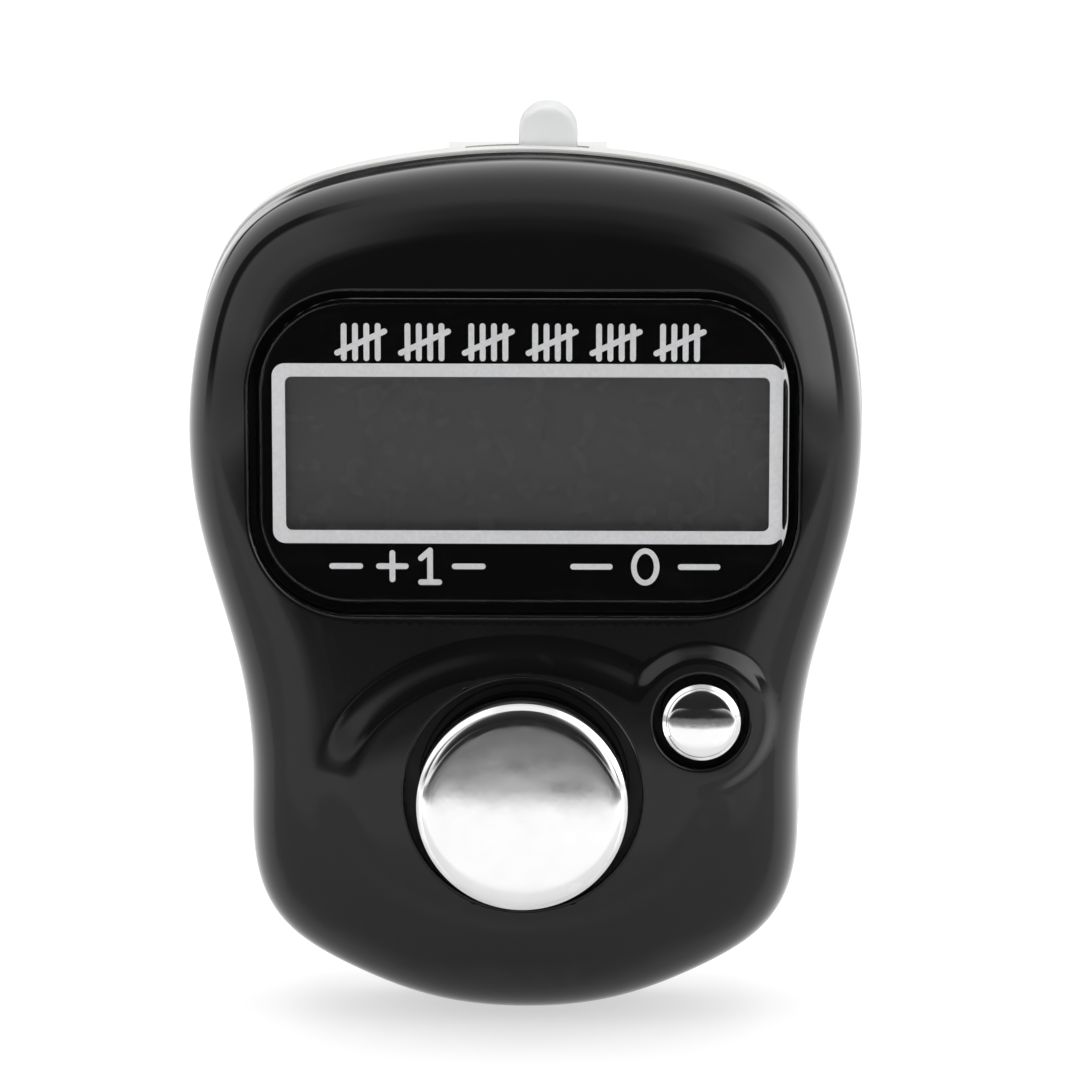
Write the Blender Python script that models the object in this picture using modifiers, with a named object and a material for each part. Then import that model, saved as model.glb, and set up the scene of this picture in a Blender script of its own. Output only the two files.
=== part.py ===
"""Electronic tally counter worn on a finger.

A glossy case in two shells holds a display under a lens, a circuit board, two sprung
buttons and a button cell behind a hinged door. A strap makes the finger loop.

The frame's origin is the centre of the finger loop. X runs along the finger, Z runs up
the display, and the face looks along -Y, so a larger Y is nearer the wearer's finger.
Every length below is in millimetres and becomes metres where a mesh is made.
"""

import math

import bmesh
import bpy
import numpy as np
from mathutils import Matrix, Vector

MM = 0.001
GAP = 0.05

# Case depths along Y, from the flat back to the middle of the face
BACK_Y = -10.0
PARTING_Y = -14.0
SHOULDER_Y = -16.8
FACE_RISE = 5.3
FACE_CROWN = 0.4
FACE_FLATNESS = 9.0
FACE_EDGE = 2.5
SHOULDER_SCALE = 0.994
WALL = 1.4
RIM_BAND = 0.8

# Right half of the case outline as (x, z), from its top to its bottom
OUTLINE_HALF = (
    (0.0, 20.25), (5.0, 19.9), (9.1, 19.1), (12.0, 17.9), (14.1, 15.8), (15.3, 12.6),
    (15.85, 9.0), (15.85, 6.0), (15.4, 2.8), (14.4, -0.85), (13.45, -4.5), (13.05, -8.1),
    (13.05, -11.3), (12.75, -14.2), (11.3, -16.6), (8.35, -18.5), (4.4, -20.0), (0.0, -20.5),
)
OUTLINE_SEGMENTS = 60
FACE_STATIONS = (0.995, 0.98, 0.95, 0.9, 0.82, 0.66, 0.38)

# Rear shell
REAR_OVERHANG = 1.006
REAR_EDGE_RADIUS = 1.6
REAR_EDGE_STEPS = 4

# Display: recess in the face, lens, glass and the frame that carries it
LENS_CENTRE_Z = 6.95
RECESS_SIZE = (25.4, 15.1, 4.7)
RECESS_FLOOR_Y = -20.7
LENS_MARGIN = 0.45
LENS_THICKNESS = 0.9
ADHESIVE_THICKNESS = 0.15
WINDOW_SIZE = (23.1, 7.9, 0.6)
SEAT_BACK_Y = -19.7
GLASS_HALF_WIDTH = 11.9
GLASS_Z = (1.2, 12.7)
GLASS_THICKNESS = 0.55
GLASS_LEDGE = 1.6
REFLECTOR_THICKNESS = 0.2
FRAME_WALL = 0.9

# Circuit board
BOARD_FRONT_Y = -16.9
BOARD_BACK_Y = -16.1
BOARD_OUTLINE_HALF = (
    (0.0, 16.6), (2.4, 16.6), (2.4, 13.5), (11.3, 13.5), (11.3, -10.0), (6.5, -10.0),
    (6.5, -16.6), (0.0, -16.6),
)
BOARD_SCREWS = {"left": (-9.9, -1.7), "right": (9.9, -1.7), "top": (0.0, 15.2)}

# Buttons: (x, z) of the axis, radii, and the depths of the top and the flange
COUNT_XZ = (0.0, -8.95)
COUNT_HOLE_RADIUS = 5.55
COUNT_RADIUS = 4.9
COUNT_TOP_Y = -25.65
COUNT_FLANGE = (6.1, -20.55, -20.05)
COUNT_TRAVEL = 1.2
COUNT_PAD = (9.3, 6.85, 0.5)
COUNT_PAD_Z = -8.8
RESET_XZ = (8.27, -5.45)
RESET_HOLE_RADIUS = 2.23
RESET_RADIUS = 1.82
RESET_TOP_Y = -23.25
RESET_FLANGE = (2.6, -20.2, -19.8)
RESET_TRAVEL = 0.7
RESET_PAD = (3.45, 3.45, 0.5)

# Button cell, its compartment and its door
CELL_XZ = (0.0, 4.0)
CELL_RADIUS = 5.8
CELL_THICKNESS = 3.05
CELL_FRONT_Y = -15.75
BORE_RADIUS = 6.2
DOOR_HALF_WIDTH = 7.4
DOOR_Z = (-4.6, 11.5)
DOOR_THICKNESS = 1.1
DOOR_HINGE_Z = 11.55
DOOR_SCREW_XZ = (0.0, -3.5)
BLOCK_BACK_Y = -12.0

# Screws that close the case, at (x, z)
CASE_SCREWS = ((-8.6, 16.0), (8.6, 16.0), (-8.9, -14.2), (8.9, -14.2))
CASE_SCREW_SEAT_Y = -11.6

# Strap: a band around the finger and the narrow tail that slides through the keeper
STRAP_TILT = math.radians(24.8)
TAIL_TIP = (-13.0, 22.4)
TAIL_X = 1.0
TAIL_HALF_WIDTH = 1.4
TAIL_HALF_THICKNESS = 0.45
TAIL_LENGTH = 9.2
BAND_HALF_WIDTH = 2.8
BAND_HALF_THICKNESS = 0.6
BAND_HEAD_HALF_WIDTH = 4.2
BAND_SLOT_Z = -13.5
BAND_ROUTE = (
    (-12.3, -13.5), (-11.4, -13.5), (-9.0, -13.5), (-4.5, -13.6), (1.0, -12.6), (6.5, -9.4),
    (10.0, -4.0), (10.6, 1.0), (9.0, 6.3), (5.0, 10.4), (0.0, 12.2), (-4.5, 12.4),
    (-7.3, 12.1), (-8.45, 12.6), (-9.08, 13.9),
)
KEEPER_LENGTHS = (2.9, 10.3)
KEEPER_HALF_WIDTH = 3.8
KEEPER_HALF_THICKNESS = 1.35
KEEPER_SLOT_HALF_WIDTH = 2.95
KEEPER_SLOT_HALF_THICKNESS = 0.65

# Local +Z becomes world -Y (front) or world +Y (rear)
TOWARDS_FRONT = Matrix.Rotation(math.radians(90), 4, "X")
TOWARDS_REAR = Matrix.Rotation(math.radians(-90), 4, "X")


# ---------------------------------------------------------------- scene and materials

def clear_scene():
    for item in list(bpy.data.objects):
        bpy.data.objects.remove(item, do_unlink=True)


def new_collection(name):
    collection = bpy.data.collections.new(name)
    bpy.context.scene.collection.children.link(collection)
    return collection


def new_material(name, colour, roughness, metallic=0.0):
    material = bpy.data.materials.new(name)
    material.use_nodes = True
    shader = material.node_tree.nodes["Principled BSDF"]
    shader.inputs["Base Color"].default_value = (*colour, 1.0)
    shader.inputs["Roughness"].default_value = roughness
    shader.inputs["Metallic"].default_value = metallic
    material.diffuse_color = (*colour, 1.0)
    return material


clear_scene()
PARTS = new_collection("tally_counter")
CUTTERS = new_collection("tally_counter_cutters")

BLACK_GLOSS = new_material("black_gloss", (0.008, 0.008, 0.009), 0.12)
WHITE_PLASTIC = new_material("white_plastic", (0.75, 0.75, 0.73), 0.35)
LENS_CLEAR = new_material("lens_clear", (0.02, 0.02, 0.02), 0.05)
CHROME = new_material("chrome", (0.82, 0.82, 0.83), 0.08, 1.0)
STRAP_CLEAR = new_material("strap_clear", (0.86, 0.87, 0.87), 0.4)
DARK_PLASTIC = new_material("dark_plastic", (0.03, 0.03, 0.03), 0.5)
DISPLAY_GLASS = new_material("display_glass", (0.05, 0.055, 0.05), 0.08)
REFLECTOR = new_material("reflector", (0.3, 0.31, 0.3), 0.4, 0.3)
TAPE = new_material("tape", (0.7, 0.68, 0.6), 0.6)
ZEBRA_RUBBER = new_material("zebra_rubber", (0.55, 0.35, 0.4), 0.6)
DOME_RUBBER = new_material("dome_rubber", (0.6, 0.6, 0.58), 0.6)
CARBON = new_material("carbon", (0.015, 0.015, 0.015), 0.7)
BOARD_GREEN = new_material("board_green", (0.02, 0.14, 0.05), 0.4)
EPOXY = new_material("epoxy", (0.01, 0.01, 0.01), 0.3)
STEEL = new_material("steel", (0.6, 0.6, 0.6), 0.3, 1.0)
CONTACT_METAL = new_material("contact_metal", (0.75, 0.7, 0.6), 0.25, 1.0)


# ---------------------------------------------------------------- modelling helpers

def scaled(x, y, z):
    return Vector((x, y, z)) * MM


def add_part(name, data, material, location=(0.0, 0.0, 0.0), rotation=None, parent=None):
    """Link an object made from a mesh or a curve, placed in world millimetres."""
    item = bpy.data.objects.new(name, data)
    data.materials.append(material)
    PARTS.objects.link(item)
    place = Matrix.Translation(scaled(*location)) @ (rotation or Matrix.Identity(4))
    item.matrix_world = place
    if parent:
        item.parent = parent
        item.matrix_parent_inverse = parent.matrix_world.inverted()
    return item


def add_cutter(name, mesh):
    item = bpy.data.objects.new(name, mesh)
    item.hide_render = True
    item.display_type = "WIRE"
    CUTTERS.objects.link(item)
    return item


def combine(target, tool, operation):
    modifier = target.modifiers.new(tool.name, "BOOLEAN")
    modifier.object = tool
    modifier.operation = operation
    modifier.solver = "EXACT"


def mesh_from(bm, name):
    bmesh.ops.recalc_face_normals(bm, faces=bm.faces)
    mesh = bpy.data.meshes.new(name)
    bm.to_mesh(mesh)
    bm.free()
    mesh.shade_smooth()
    mesh.set_sharp_from_angle(angle=math.radians(35))
    return mesh


def cylinders(name, spots, radius, front_y, back_y, segments=16):
    """Cylinders along Y, one at each (x, z), as one mesh."""
    bm = bmesh.new()
    for x, z in spots:
        place = Matrix.Translation(scaled(x, (front_y + back_y) / 2, z)) @ TOWARDS_FRONT
        bmesh.ops.create_cone(
            bm, cap_ends=True, segments=segments, radius1=radius * MM, radius2=radius * MM,
            depth=(back_y - front_y) * MM, matrix=place,
        )
    return mesh_from(bm, name)


def box(name, low, high, place=None):
    """A box between two corners, in the axes that place gives."""
    bm = bmesh.new()
    centre = (scaled(*low) + scaled(*high)) / 2
    size = scaled(*high) - scaled(*low)
    local = Matrix.Translation(centre) @ Matrix.Diagonal((*size, 1.0))
    bmesh.ops.create_cube(bm, size=1.0, matrix=(place or Matrix.Identity(4)) @ local)
    return mesh_from(bm, name)


def rounded_rectangle(width, height, radius, centre_x=0.0, centre_z=0.0, steps=8):
    """Corner arcs of a rounded rectangle, anticlockwise, as (x, z) points."""
    points = []
    for quarter in range(4):
        corner = math.radians(90 * quarter + 45)
        x = centre_x + math.copysign(width / 2 - radius, math.cos(corner))
        z = centre_z + math.copysign(height / 2 - radius, math.sin(corner))
        for step in range(steps + 1):
            angle = math.radians(90 * (quarter + step / steps))
            points.append((x + radius * math.cos(angle), z + radius * math.sin(angle)))
    return points


def circle(radius, centre_x=0.0, centre_z=0.0, steps=24):
    turn = 2 * math.pi / steps
    return [
        (centre_x + radius * math.cos(i * turn), centre_z + radius * math.sin(i * turn))
        for i in range(steps)
    ]


def outline_curve(name, loops, thickness):
    """A flat plate as a 2D curve: the first loop is its edge and the others are holes."""
    curve = bpy.data.curves.new(name, "CURVE")
    curve.dimensions = "2D"
    curve.fill_mode = "BOTH"
    curve.extrude = thickness / 2 * MM
    for loop in loops:
        spline = curve.splines.new("POLY")
        spline.points.add(len(loop) - 1)
        for point, (x, z) in zip(spline.points, loop):
            point.co = (x * MM, z * MM, 0.0, 1.0)
        spline.use_cyclic_u = True
    return curve


def plate(name, loops, front_y, back_y, material, parent=None):
    curve = outline_curve(name, loops, back_y - front_y)
    middle = (front_y + back_y) / 2
    return add_part(name, curve, material, (0.0, middle, 0.0), TOWARDS_FRONT, parent)


def plate_mesh(name, loops, front_y, back_y):
    """The same plate as a closed mesh in world axes, for a piece that is cut or cuts."""
    curve = outline_curve(name, loops, back_y - front_y)
    item = bpy.data.objects.new(name, curve)
    bpy.context.scene.collection.objects.link(item)
    evaluated = item.evaluated_get(bpy.context.evaluated_depsgraph_get())
    mesh = bpy.data.meshes.new_from_object(evaluated)
    bpy.data.objects.remove(item, do_unlink=True)
    bm = bmesh.new()
    bm.from_mesh(mesh)
    bmesh.ops.remove_doubles(bm, verts=bm.verts, dist=1e-7)
    middle = (front_y + back_y) / 2
    bm.transform(Matrix.Translation(scaled(0.0, middle, 0.0)) @ TOWARDS_FRONT)
    return mesh_from(bm, name)


def turned(name, profile, location, material, rotation=TOWARDS_FRONT, steps=28, parent=None):
    """A turned piece: (radius, height) points from its top, down its outside, to its end."""
    mesh = bpy.data.meshes.new(name)
    points = [(radius * MM, 0.0, height * MM) for radius, height in profile]
    mesh.from_pydata(points, [(i, i + 1) for i in range(len(points) - 1)], [])
    item = add_part(name, mesh, material, location, rotation, parent)
    screw = item.modifiers.new("turn", "SCREW")
    screw.steps = steps
    screw.render_steps = steps
    screw.use_merge_vertices = True
    screw.merge_threshold = 1e-6
    screw.use_smooth_shade = True
    return item


def loft(name, rings):
    """A closed skin through rings of equal point counts, with flat ends."""
    bm = bmesh.new()
    rows = [[bm.verts.new(point) for point in ring] for ring in rings]
    count = len(rows[0])
    for near, far in zip(rows, rows[1:]):
        for i in range(count):
            j = (i + 1) % count
            bm.faces.new((near[i], near[j], far[j], far[i]))
    bm.faces.new(rows[0])
    bm.faces.new(rows[-1])
    return mesh_from(bm, name)


def smooth_path(points, steps, closed):
    """Catmull-Rom curve through the points, with steps samples on each span."""
    control = [np.array(point, dtype=float) for point in points]
    if closed:
        control = [control[-1]] + control + control[:2]
    else:
        control = [2 * control[0] - control[1]] + control + [2 * control[-1] - control[-2]]
    samples = []
    for a, b, c, d in zip(control, control[1:], control[2:], control[3:]):
        for step in range(steps):
            t = step / steps
            samples.append(0.5 * (
                2 * b + (c - a) * t + (2 * a - 5 * b + 4 * c - d) * t**2
                + (3 * b - a - 3 * c + d) * t**3
            ))
    if not closed:
        samples.append(control[-2])
    return np.array(samples)


def evenly_spaced(path, count):
    """Points at equal steps along a closed path."""
    looped = np.vstack([path, path[:1]])
    lengths = np.linalg.norm(np.diff(looped, axis=0), axis=1)
    travelled = np.concatenate([[0.0], np.cumsum(lengths)])
    wanted = np.arange(count) * travelled[-1] / count
    return np.stack([np.interp(wanted, travelled, looped[:, k]) for k in range(2)], axis=1)


# ---------------------------------------------------------------- case surface

def full_outline():
    left = [(-x, z) for x, z in reversed(OUTLINE_HALF[1:-1])]
    return smooth_path(list(OUTLINE_HALF) + left, 12, closed=True)


OUTLINE = full_outline()
OUTLINE_RING = evenly_spaced(OUTLINE, OUTLINE_SEGMENTS)
OUTLINE_ANGLES = np.arctan2(OUTLINE[:, 0], OUTLINE[:, 1])
OUTLINE_RADII = np.linalg.norm(OUTLINE, axis=1)


def face_depth(share):
    """Y of the face where share is 0 at its middle and 1 at the shoulder."""
    rounding = (1 - min(share, 1.0) ** FACE_FLATNESS) ** (1 / FACE_EDGE)
    return SHOULDER_Y - FACE_RISE * rounding - FACE_CROWN * (1 - share**2)


def face_y(x, z):
    angle = math.atan2(x, z)
    edge = np.interp(angle, OUTLINE_ANGLES, OUTLINE_RADII, period=2 * math.pi)
    return face_depth(math.hypot(x, z) / (edge * SHOULDER_SCALE))


def ring_at(scale, y):
    return [scaled(x * scale, y, z * scale) for x, z in OUTLINE_RING]


def shell_skin(name, rings, tip_y):
    """An open skin: rings from the parting line to the middle, closed at its tip."""
    bm = bmesh.new()
    rows = [[bm.verts.new(point) for point in ring] for ring in rings]
    tip = bm.verts.new(scaled(0.0, tip_y, 0.0))
    for near, far in zip(rows, rows[1:]):
        for i in range(OUTLINE_SEGMENTS):
            j = (i + 1) % OUTLINE_SEGMENTS
            bm.faces.new((near[i], near[j], far[j], far[i]))
    for i in range(OUTLINE_SEGMENTS):
        bm.faces.new((rows[-1][i], rows[-1][(i + 1) % OUTLINE_SEGMENTS], tip))
    return mesh_from(bm, name)


def thicken(item):
    solidify = item.modifiers.new("wall", "SOLIDIFY")
    solidify.thickness = WALL * MM
    solidify.offset = -1.0
    solidify.use_even_offset = True


def raised_pad(name, centre_x, centre_z, sizes):
    """A low plateau that follows the face, for the collar around a button."""
    half_x, half_z, height = sizes
    profile = ((0.3, WALL / 2), (1.0, WALL / 2), (1.0, 0.0), (0.9, -height), (0.3, -height))
    rings = []
    for share, depth in profile:
        ring = []
        for x, z in circle(share, steps=36):
            px = centre_x + x * half_x
            pz = centre_z + z * half_z
            ring.append(scaled(px, face_y(px, pz) + depth, pz))
        rings.append(ring)
    return loft(name, rings)


# ---------------------------------------------------------------- front shell

def make_front_shell():
    rings = [ring_at(1.0, PARTING_Y - GAP), ring_at(1.0, PARTING_Y - RIM_BAND)]
    rings.append(ring_at(SHOULDER_SCALE, SHOULDER_Y))
    for share in FACE_STATIONS:
        rings.append(ring_at(SHOULDER_SCALE * share, face_depth(share)))
    shell = add_part("front_shell", shell_skin("front_shell", rings, face_depth(0.0)), BLACK_GLOSS)
    thicken(shell)

    width, height, radius = RECESS_SIZE
    rim = 0.8
    seat = rounded_rectangle(width + 2 * rim, height + 2 * rim, radius + rim, 0.0, LENS_CENTRE_Z)
    recess = rounded_rectangle(width, height, radius, 0.0, LENS_CENTRE_Z)
    window = rounded_rectangle(*WINDOW_SIZE, 0.0, LENS_CENTRE_Z, steps=3)
    posts = list(BOARD_SCREWS.values())
    additions = {
        "count_pad": raised_pad("count_pad", COUNT_XZ[0], COUNT_PAD_Z, COUNT_PAD),
        "reset_pad": raised_pad("reset_pad", *RESET_XZ, RESET_PAD),
        "lens_seat": plate_mesh("lens_seat", [seat], -21.4, SEAT_BACK_Y),
        "case_bosses": cylinders("case_bosses", CASE_SCREWS, 1.6, -20.4, PARTING_Y - GAP),
        "board_posts": cylinders("board_posts", posts, 1.1, -20.8, BOARD_FRONT_Y - GAP),
    }
    for name, mesh in additions.items():
        combine(shell, add_cutter(name, mesh), "UNION")
    ahead = -27.0
    removals = {
        "lens_recess": plate_mesh("lens_recess", [recess], ahead, RECESS_FLOOR_Y),
        "lens_window": plate_mesh("lens_window", [window], ahead, -19.0),
        "count_hole": cylinders("count_hole", [COUNT_XZ], COUNT_HOLE_RADIUS, ahead, -20.0, 40),
        "reset_hole": cylinders("reset_hole", [RESET_XZ], RESET_HOLE_RADIUS, ahead, -19.9, 28),
        "case_pilots": cylinders("case_pilots", CASE_SCREWS, 0.75, -18.2, -13.0, 12),
        "board_pilots": cylinders("board_pilots", posts, 0.5, -19.4, -16.0, 12),
    }
    for name, mesh in removals.items():
        combine(shell, add_cutter(name, mesh), "DIFFERENCE")


# ---------------------------------------------------------------- rear shell and strap keeper

def strap_axes():
    """Axes of the keeper: local Z runs up the tail from its tip, local Y to the rear."""
    tip_y, tip_z = TAIL_TIP
    return Matrix.Translation(scaled(0.0, tip_y, tip_z)) @ Matrix.Rotation(STRAP_TILT, 4, "X")


def make_rear_shell():
    rings = [ring_at(REAR_OVERHANG, PARTING_Y + GAP), ring_at(REAR_OVERHANG, PARTING_Y + RIM_BAND)]
    half_width = max(x for x, _ in OUTLINE_HALF)
    inset = REAR_EDGE_RADIUS / half_width
    for step in range(REAR_EDGE_STEPS + 1):
        angle = math.radians(90 * step / REAR_EDGE_STEPS)
        scale = REAR_OVERHANG - 0.004 - inset * (1 - math.cos(angle))
        rings.append(ring_at(scale, BACK_Y - REAR_EDGE_RADIUS * (1 - math.sin(angle))))
    shell = add_part("rear_shell", shell_skin("rear_shell", rings, BACK_Y), WHITE_PLASTIC)
    thicken(shell)

    keeper = strap_axes()
    start, end = KEEPER_LENGTHS
    keeper_low = (-KEEPER_HALF_WIDTH, -KEEPER_HALF_THICKNESS, -end)
    keeper_high = (KEEPER_HALF_WIDTH, KEEPER_HALF_THICKNESS, -start)
    slot_low = (-KEEPER_SLOT_HALF_WIDTH, -KEEPER_SLOT_HALF_THICKNESS, -end - 3.0)
    slot_high = (KEEPER_SLOT_HALF_WIDTH, KEEPER_SLOT_HALF_THICKNESS, -start + 3.0)
    cell_x, cell_z = CELL_XZ
    door_low, door_high = DOOR_Z
    door_height = door_high - door_low
    door_middle = (door_high + door_low) / 2
    rim = 0.9
    block = rounded_rectangle(2 * (DOOR_HALF_WIDTH + rim), door_height + 2 * rim, 2.0, 0.0, door_middle, 4)
    recess = rounded_rectangle(2 * DOOR_HALF_WIDTH + 0.1, door_height + 0.1, 1.25, 0.0, door_middle, 4)
    screw_x, screw_z = DOOR_SCREW_XZ
    floor_y = BACK_Y - DOOR_THICKNESS - GAP
    additions = {
        "door_block": plate_mesh("door_block", [block], BLOCK_BACK_Y, BACK_Y - 0.3),
        "cell_wall": cylinders("cell_wall", [CELL_XZ], 7.1, BOARD_BACK_Y + 0.15, -11.5, 32),
        "door_screw_boss": cylinders("door_screw_boss", [DOOR_SCREW_XZ], 1.7, -13.6, -11.0),
        "rear_bosses": cylinders("rear_bosses", CASE_SCREWS, 2.2, PARTING_Y + GAP, BACK_Y - 0.4),
        "strap_keeper": box("strap_keeper", keeper_low, keeper_high, keeper),
    }
    for name, mesh in additions.items():
        combine(shell, add_cutter(name, mesh), "UNION")
    hook_low = (-2.6, -12.6, door_high - 1.8)
    hook_high = (2.6, floor_y, door_high + 1.35)
    notch_low = (cell_x + 5.5, -17.0, cell_z - 1.8)
    notch_high = (cell_x + 7.6, -12.6, cell_z + 1.8)
    band_low = (-BAND_HALF_WIDTH - 0.15, -13.0, BAND_SLOT_Z - 0.75)
    band_high = (BAND_HALF_WIDTH + 0.15, -9.0, BAND_SLOT_Z + 0.75)
    removals = {
        "door_recess": plate_mesh("door_recess", [recess], floor_y, -9.0),
        "cell_bore": cylinders("cell_bore", [CELL_XZ], BORE_RADIUS, -17.0, -9.0, 32),
        "hook_slot": box("hook_slot", hook_low, hook_high),
        "contact_notch": box("contact_notch", notch_low, notch_high),
        "door_pilot": cylinders("door_pilot", [(screw_x, screw_z)], 0.85, -13.0, -10.0, 16),
        "band_slot": box("band_slot", band_low, band_high),
        "keeper_slot": box("keeper_slot", slot_low, slot_high, keeper),
        "screw_seats": cylinders("screw_seats", CASE_SCREWS, 1.7, CASE_SCREW_SEAT_Y, -9.0, 18),
        "screw_holes": cylinders("screw_holes", CASE_SCREWS, 0.85, -15.0, -9.0, 12),
    }
    for name, mesh in removals.items():
        combine(shell, add_cutter(name, mesh), "DIFFERENCE")


# ---------------------------------------------------------------- display

def make_display():
    width, height, radius = RECESS_SIZE
    lens_width = width - 2 * LENS_MARGIN
    lens_height = height - 2 * LENS_MARGIN
    lens_radius = radius - LENS_MARGIN
    lens = rounded_rectangle(lens_width, lens_height, lens_radius, 0.0, LENS_CENTRE_Z)
    lens_back_y = RECESS_FLOOR_Y - ADHESIVE_THICKNESS
    plate("display_lens", [lens], lens_back_y - LENS_THICKNESS, lens_back_y - 0.02, LENS_CLEAR)

    opening = rounded_rectangle(WINDOW_SIZE[0] + 0.2, WINDOW_SIZE[1] + 0.6, 0.6, 0.0, LENS_CENTRE_Z, 3)
    plate("lens_adhesive", [lens, opening], lens_back_y, RECESS_FLOOR_Y - 0.02, TAPE)

    low, high = GLASS_Z
    front_y = SEAT_BACK_Y + GAP
    rear_y = front_y + GLASS_THICKNESS + GAP
    reflector_y = rear_y + GLASS_THICKNESS + GAP
    glass_width = 2 * GLASS_HALF_WIDTH
    front = rounded_rectangle(glass_width, high - low, 0.2, 0.0, (high + low) / 2, 2)
    rear_low = low + GLASS_LEDGE
    rear = rounded_rectangle(glass_width, high - rear_low, 0.2, 0.0, (high + rear_low) / 2, 2)
    plate("lcd_front_glass", [front], front_y, front_y + GLASS_THICKNESS, DISPLAY_GLASS)
    plate("lcd_rear_glass", [rear], rear_y, rear_y + GLASS_THICKNESS, DISPLAY_GLASS)
    plate("lcd_reflector", [rear], reflector_y, reflector_y + REFLECTOR_THICKNESS, REFLECTOR)

    zebra = rounded_rectangle(glass_width - 1.4, 1.2, 0.1, 0.0, low + 0.75, 2)
    zebra_front_y = front_y + GLASS_THICKNESS + GAP
    plate("zebra_strip", [zebra], zebra_front_y, BOARD_FRONT_Y - GAP, ZEBRA_RUBBER)

    hollow = rounded_rectangle(glass_width + 0.2, high - low + 0.2, 0.3, 0.0, (high + low) / 2, 2)
    outer = rounded_rectangle(
        glass_width + 0.2 + 2 * FRAME_WALL, high - low + 0.2 + 2 * FRAME_WALL, 1.0,
        0.0, (high + low) / 2, 4)
    plate("lcd_frame", [outer, hollow], front_y, BOARD_FRONT_Y - GAP, DARK_PLASTIC)


# ---------------------------------------------------------------- circuit board and cell

def make_board():
    edge = list(BOARD_OUTLINE_HALF) + [(-x, z) for x, z in reversed(BOARD_OUTLINE_HALF[1:-1])]
    holes = [circle(0.6, x, z, 12) for x, z in BOARD_SCREWS.values()]
    plate("circuit_board", [edge] + holes, BOARD_FRONT_Y, BOARD_BACK_Y, BOARD_GREEN)

    blob = [(3.0 * math.sin(a), 1.0 * math.cos(a)) for a in (0.0, 0.5, 0.95, 1.35)]
    blob += [(3.0, 0.0), (0.0, 0.0)]
    turned("chip_glob_top", blob, (0.0, BOARD_BACK_Y + GAP, -8.5), EPOXY, TOWARDS_REAR, 18)


def make_cell():
    cell_x, cell_z = CELL_XZ
    step = CELL_RADIUS - 0.7
    profile = [
        (0.0, CELL_THICKNESS), (CELL_RADIUS - 0.25, CELL_THICKNESS),
        (CELL_RADIUS, CELL_THICKNESS - 0.25), (CELL_RADIUS, 0.35), (CELL_RADIUS - 0.15, 0.25),
        (step, 0.25), (step - 0.15, 0.0), (0.0, 0.0),
    ]
    turned("battery_cell", profile, (cell_x, CELL_FRONT_Y, cell_z), STEEL, TOWARDS_REAR)

    pad_y = BOARD_BACK_Y + GAP
    negative = rounded_rectangle(7.0, 3.0, 1.0, cell_x, cell_z, 4)
    plate("battery_negative_contact", [negative], pad_y, CELL_FRONT_Y - GAP, CONTACT_METAL)

    inner = cell_x + CELL_RADIUS + 0.1
    leg = 0.2
    bend = [
        (inner, pad_y), (inner + 2.0, pad_y), (inner + 2.0, pad_y + leg),
        (inner + leg, pad_y + leg), (inner + leg, -12.9), (inner, -12.9),
    ]
    width = 2.4
    low = [scaled(x, y, cell_z - width / 2) for x, y in bend]
    high = [scaled(x, y, cell_z + width / 2) for x, y in bend]
    mesh = loft("battery_positive_contact", [low, high])
    add_part("battery_positive_contact", mesh, CONTACT_METAL)


def make_door():
    low, high = DOOR_Z
    hinge = (0.0, BACK_Y, DOOR_HINGE_Z)
    outline = rounded_rectangle(2 * DOOR_HALF_WIDTH, high - low, 1.2, 0.0, (high + low) / 2, 4)
    inner_y = BACK_Y - DOOR_THICKNESS
    mesh = plate_mesh("battery_door", [outline], inner_y, BACK_Y)
    mesh.transform(Matrix.Translation(-scaled(*hinge)))
    door = add_part("battery_door", mesh, WHITE_PLASTIC, hinge)

    hook_low = (-2.4, inner_y - 0.75, high - 1.6)
    hook_high = (2.4, inner_y - 0.15, high + 1.1)
    neck_low = (-2.4, inner_y - 0.3, high - 1.6)
    neck_high = (2.4, inner_y + 0.3, high - 0.3)
    combine(door, add_cutter("door_hook", box("door_hook", hook_low, hook_high)), "UNION")
    combine(door, add_cutter("door_hook_neck", box("door_hook_neck", neck_low, neck_high)), "UNION")
    screw = [DOOR_SCREW_XZ]
    seat = cylinders("door_screw_seat", screw, 1.3, BACK_Y - 0.7, -9.0, 20)
    through = cylinders("door_screw_hole", screw, 0.7, -13.0, -9.0, 16)
    combine(door, add_cutter("door_screw_seat", seat), "DIFFERENCE")
    combine(door, add_cutter("door_screw_hole", through), "DIFFERENCE")
    return door


# ---------------------------------------------------------------- screws

def make_screw(name, spot, seat_y, sizes, parent=None):
    """A pan-head screw from the rear, with a cross recess: its head rests at seat_y."""
    head_radius, head_height, shank_radius, shank_length = sizes
    crown = 0.75 * head_radius
    profile = [
        (0.0, head_height), (crown, head_height), (head_radius, 0.55 * head_height),
        (head_radius, 0.0), (shank_radius, 0.0), (shank_radius, -shank_length + 0.3),
        (0.4 * shank_radius, -shank_length), (0.0, -shank_length),
    ]
    x, z = spot
    location = (x, seat_y + 0.02, z)
    item = turned(name, profile, location, STEEL, TOWARDS_REAR, 14, parent)
    top_y = seat_y + head_height
    arm = 0.62 * head_radius
    half = 0.14 * head_radius
    depth = 0.55 * head_height
    for axis, (half_x, half_z) in (("across", (arm, half)), ("upright", (half, arm))):
        low = (x - half_x, top_y - depth, z - half_z)
        high = (x + half_x, top_y + 0.5, z + half_z)
        cutter_name = f"{name}_recess_{axis}"
        combine(item, add_cutter(cutter_name, box(cutter_name, low, high)), "DIFFERENCE")
    return item


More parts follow.
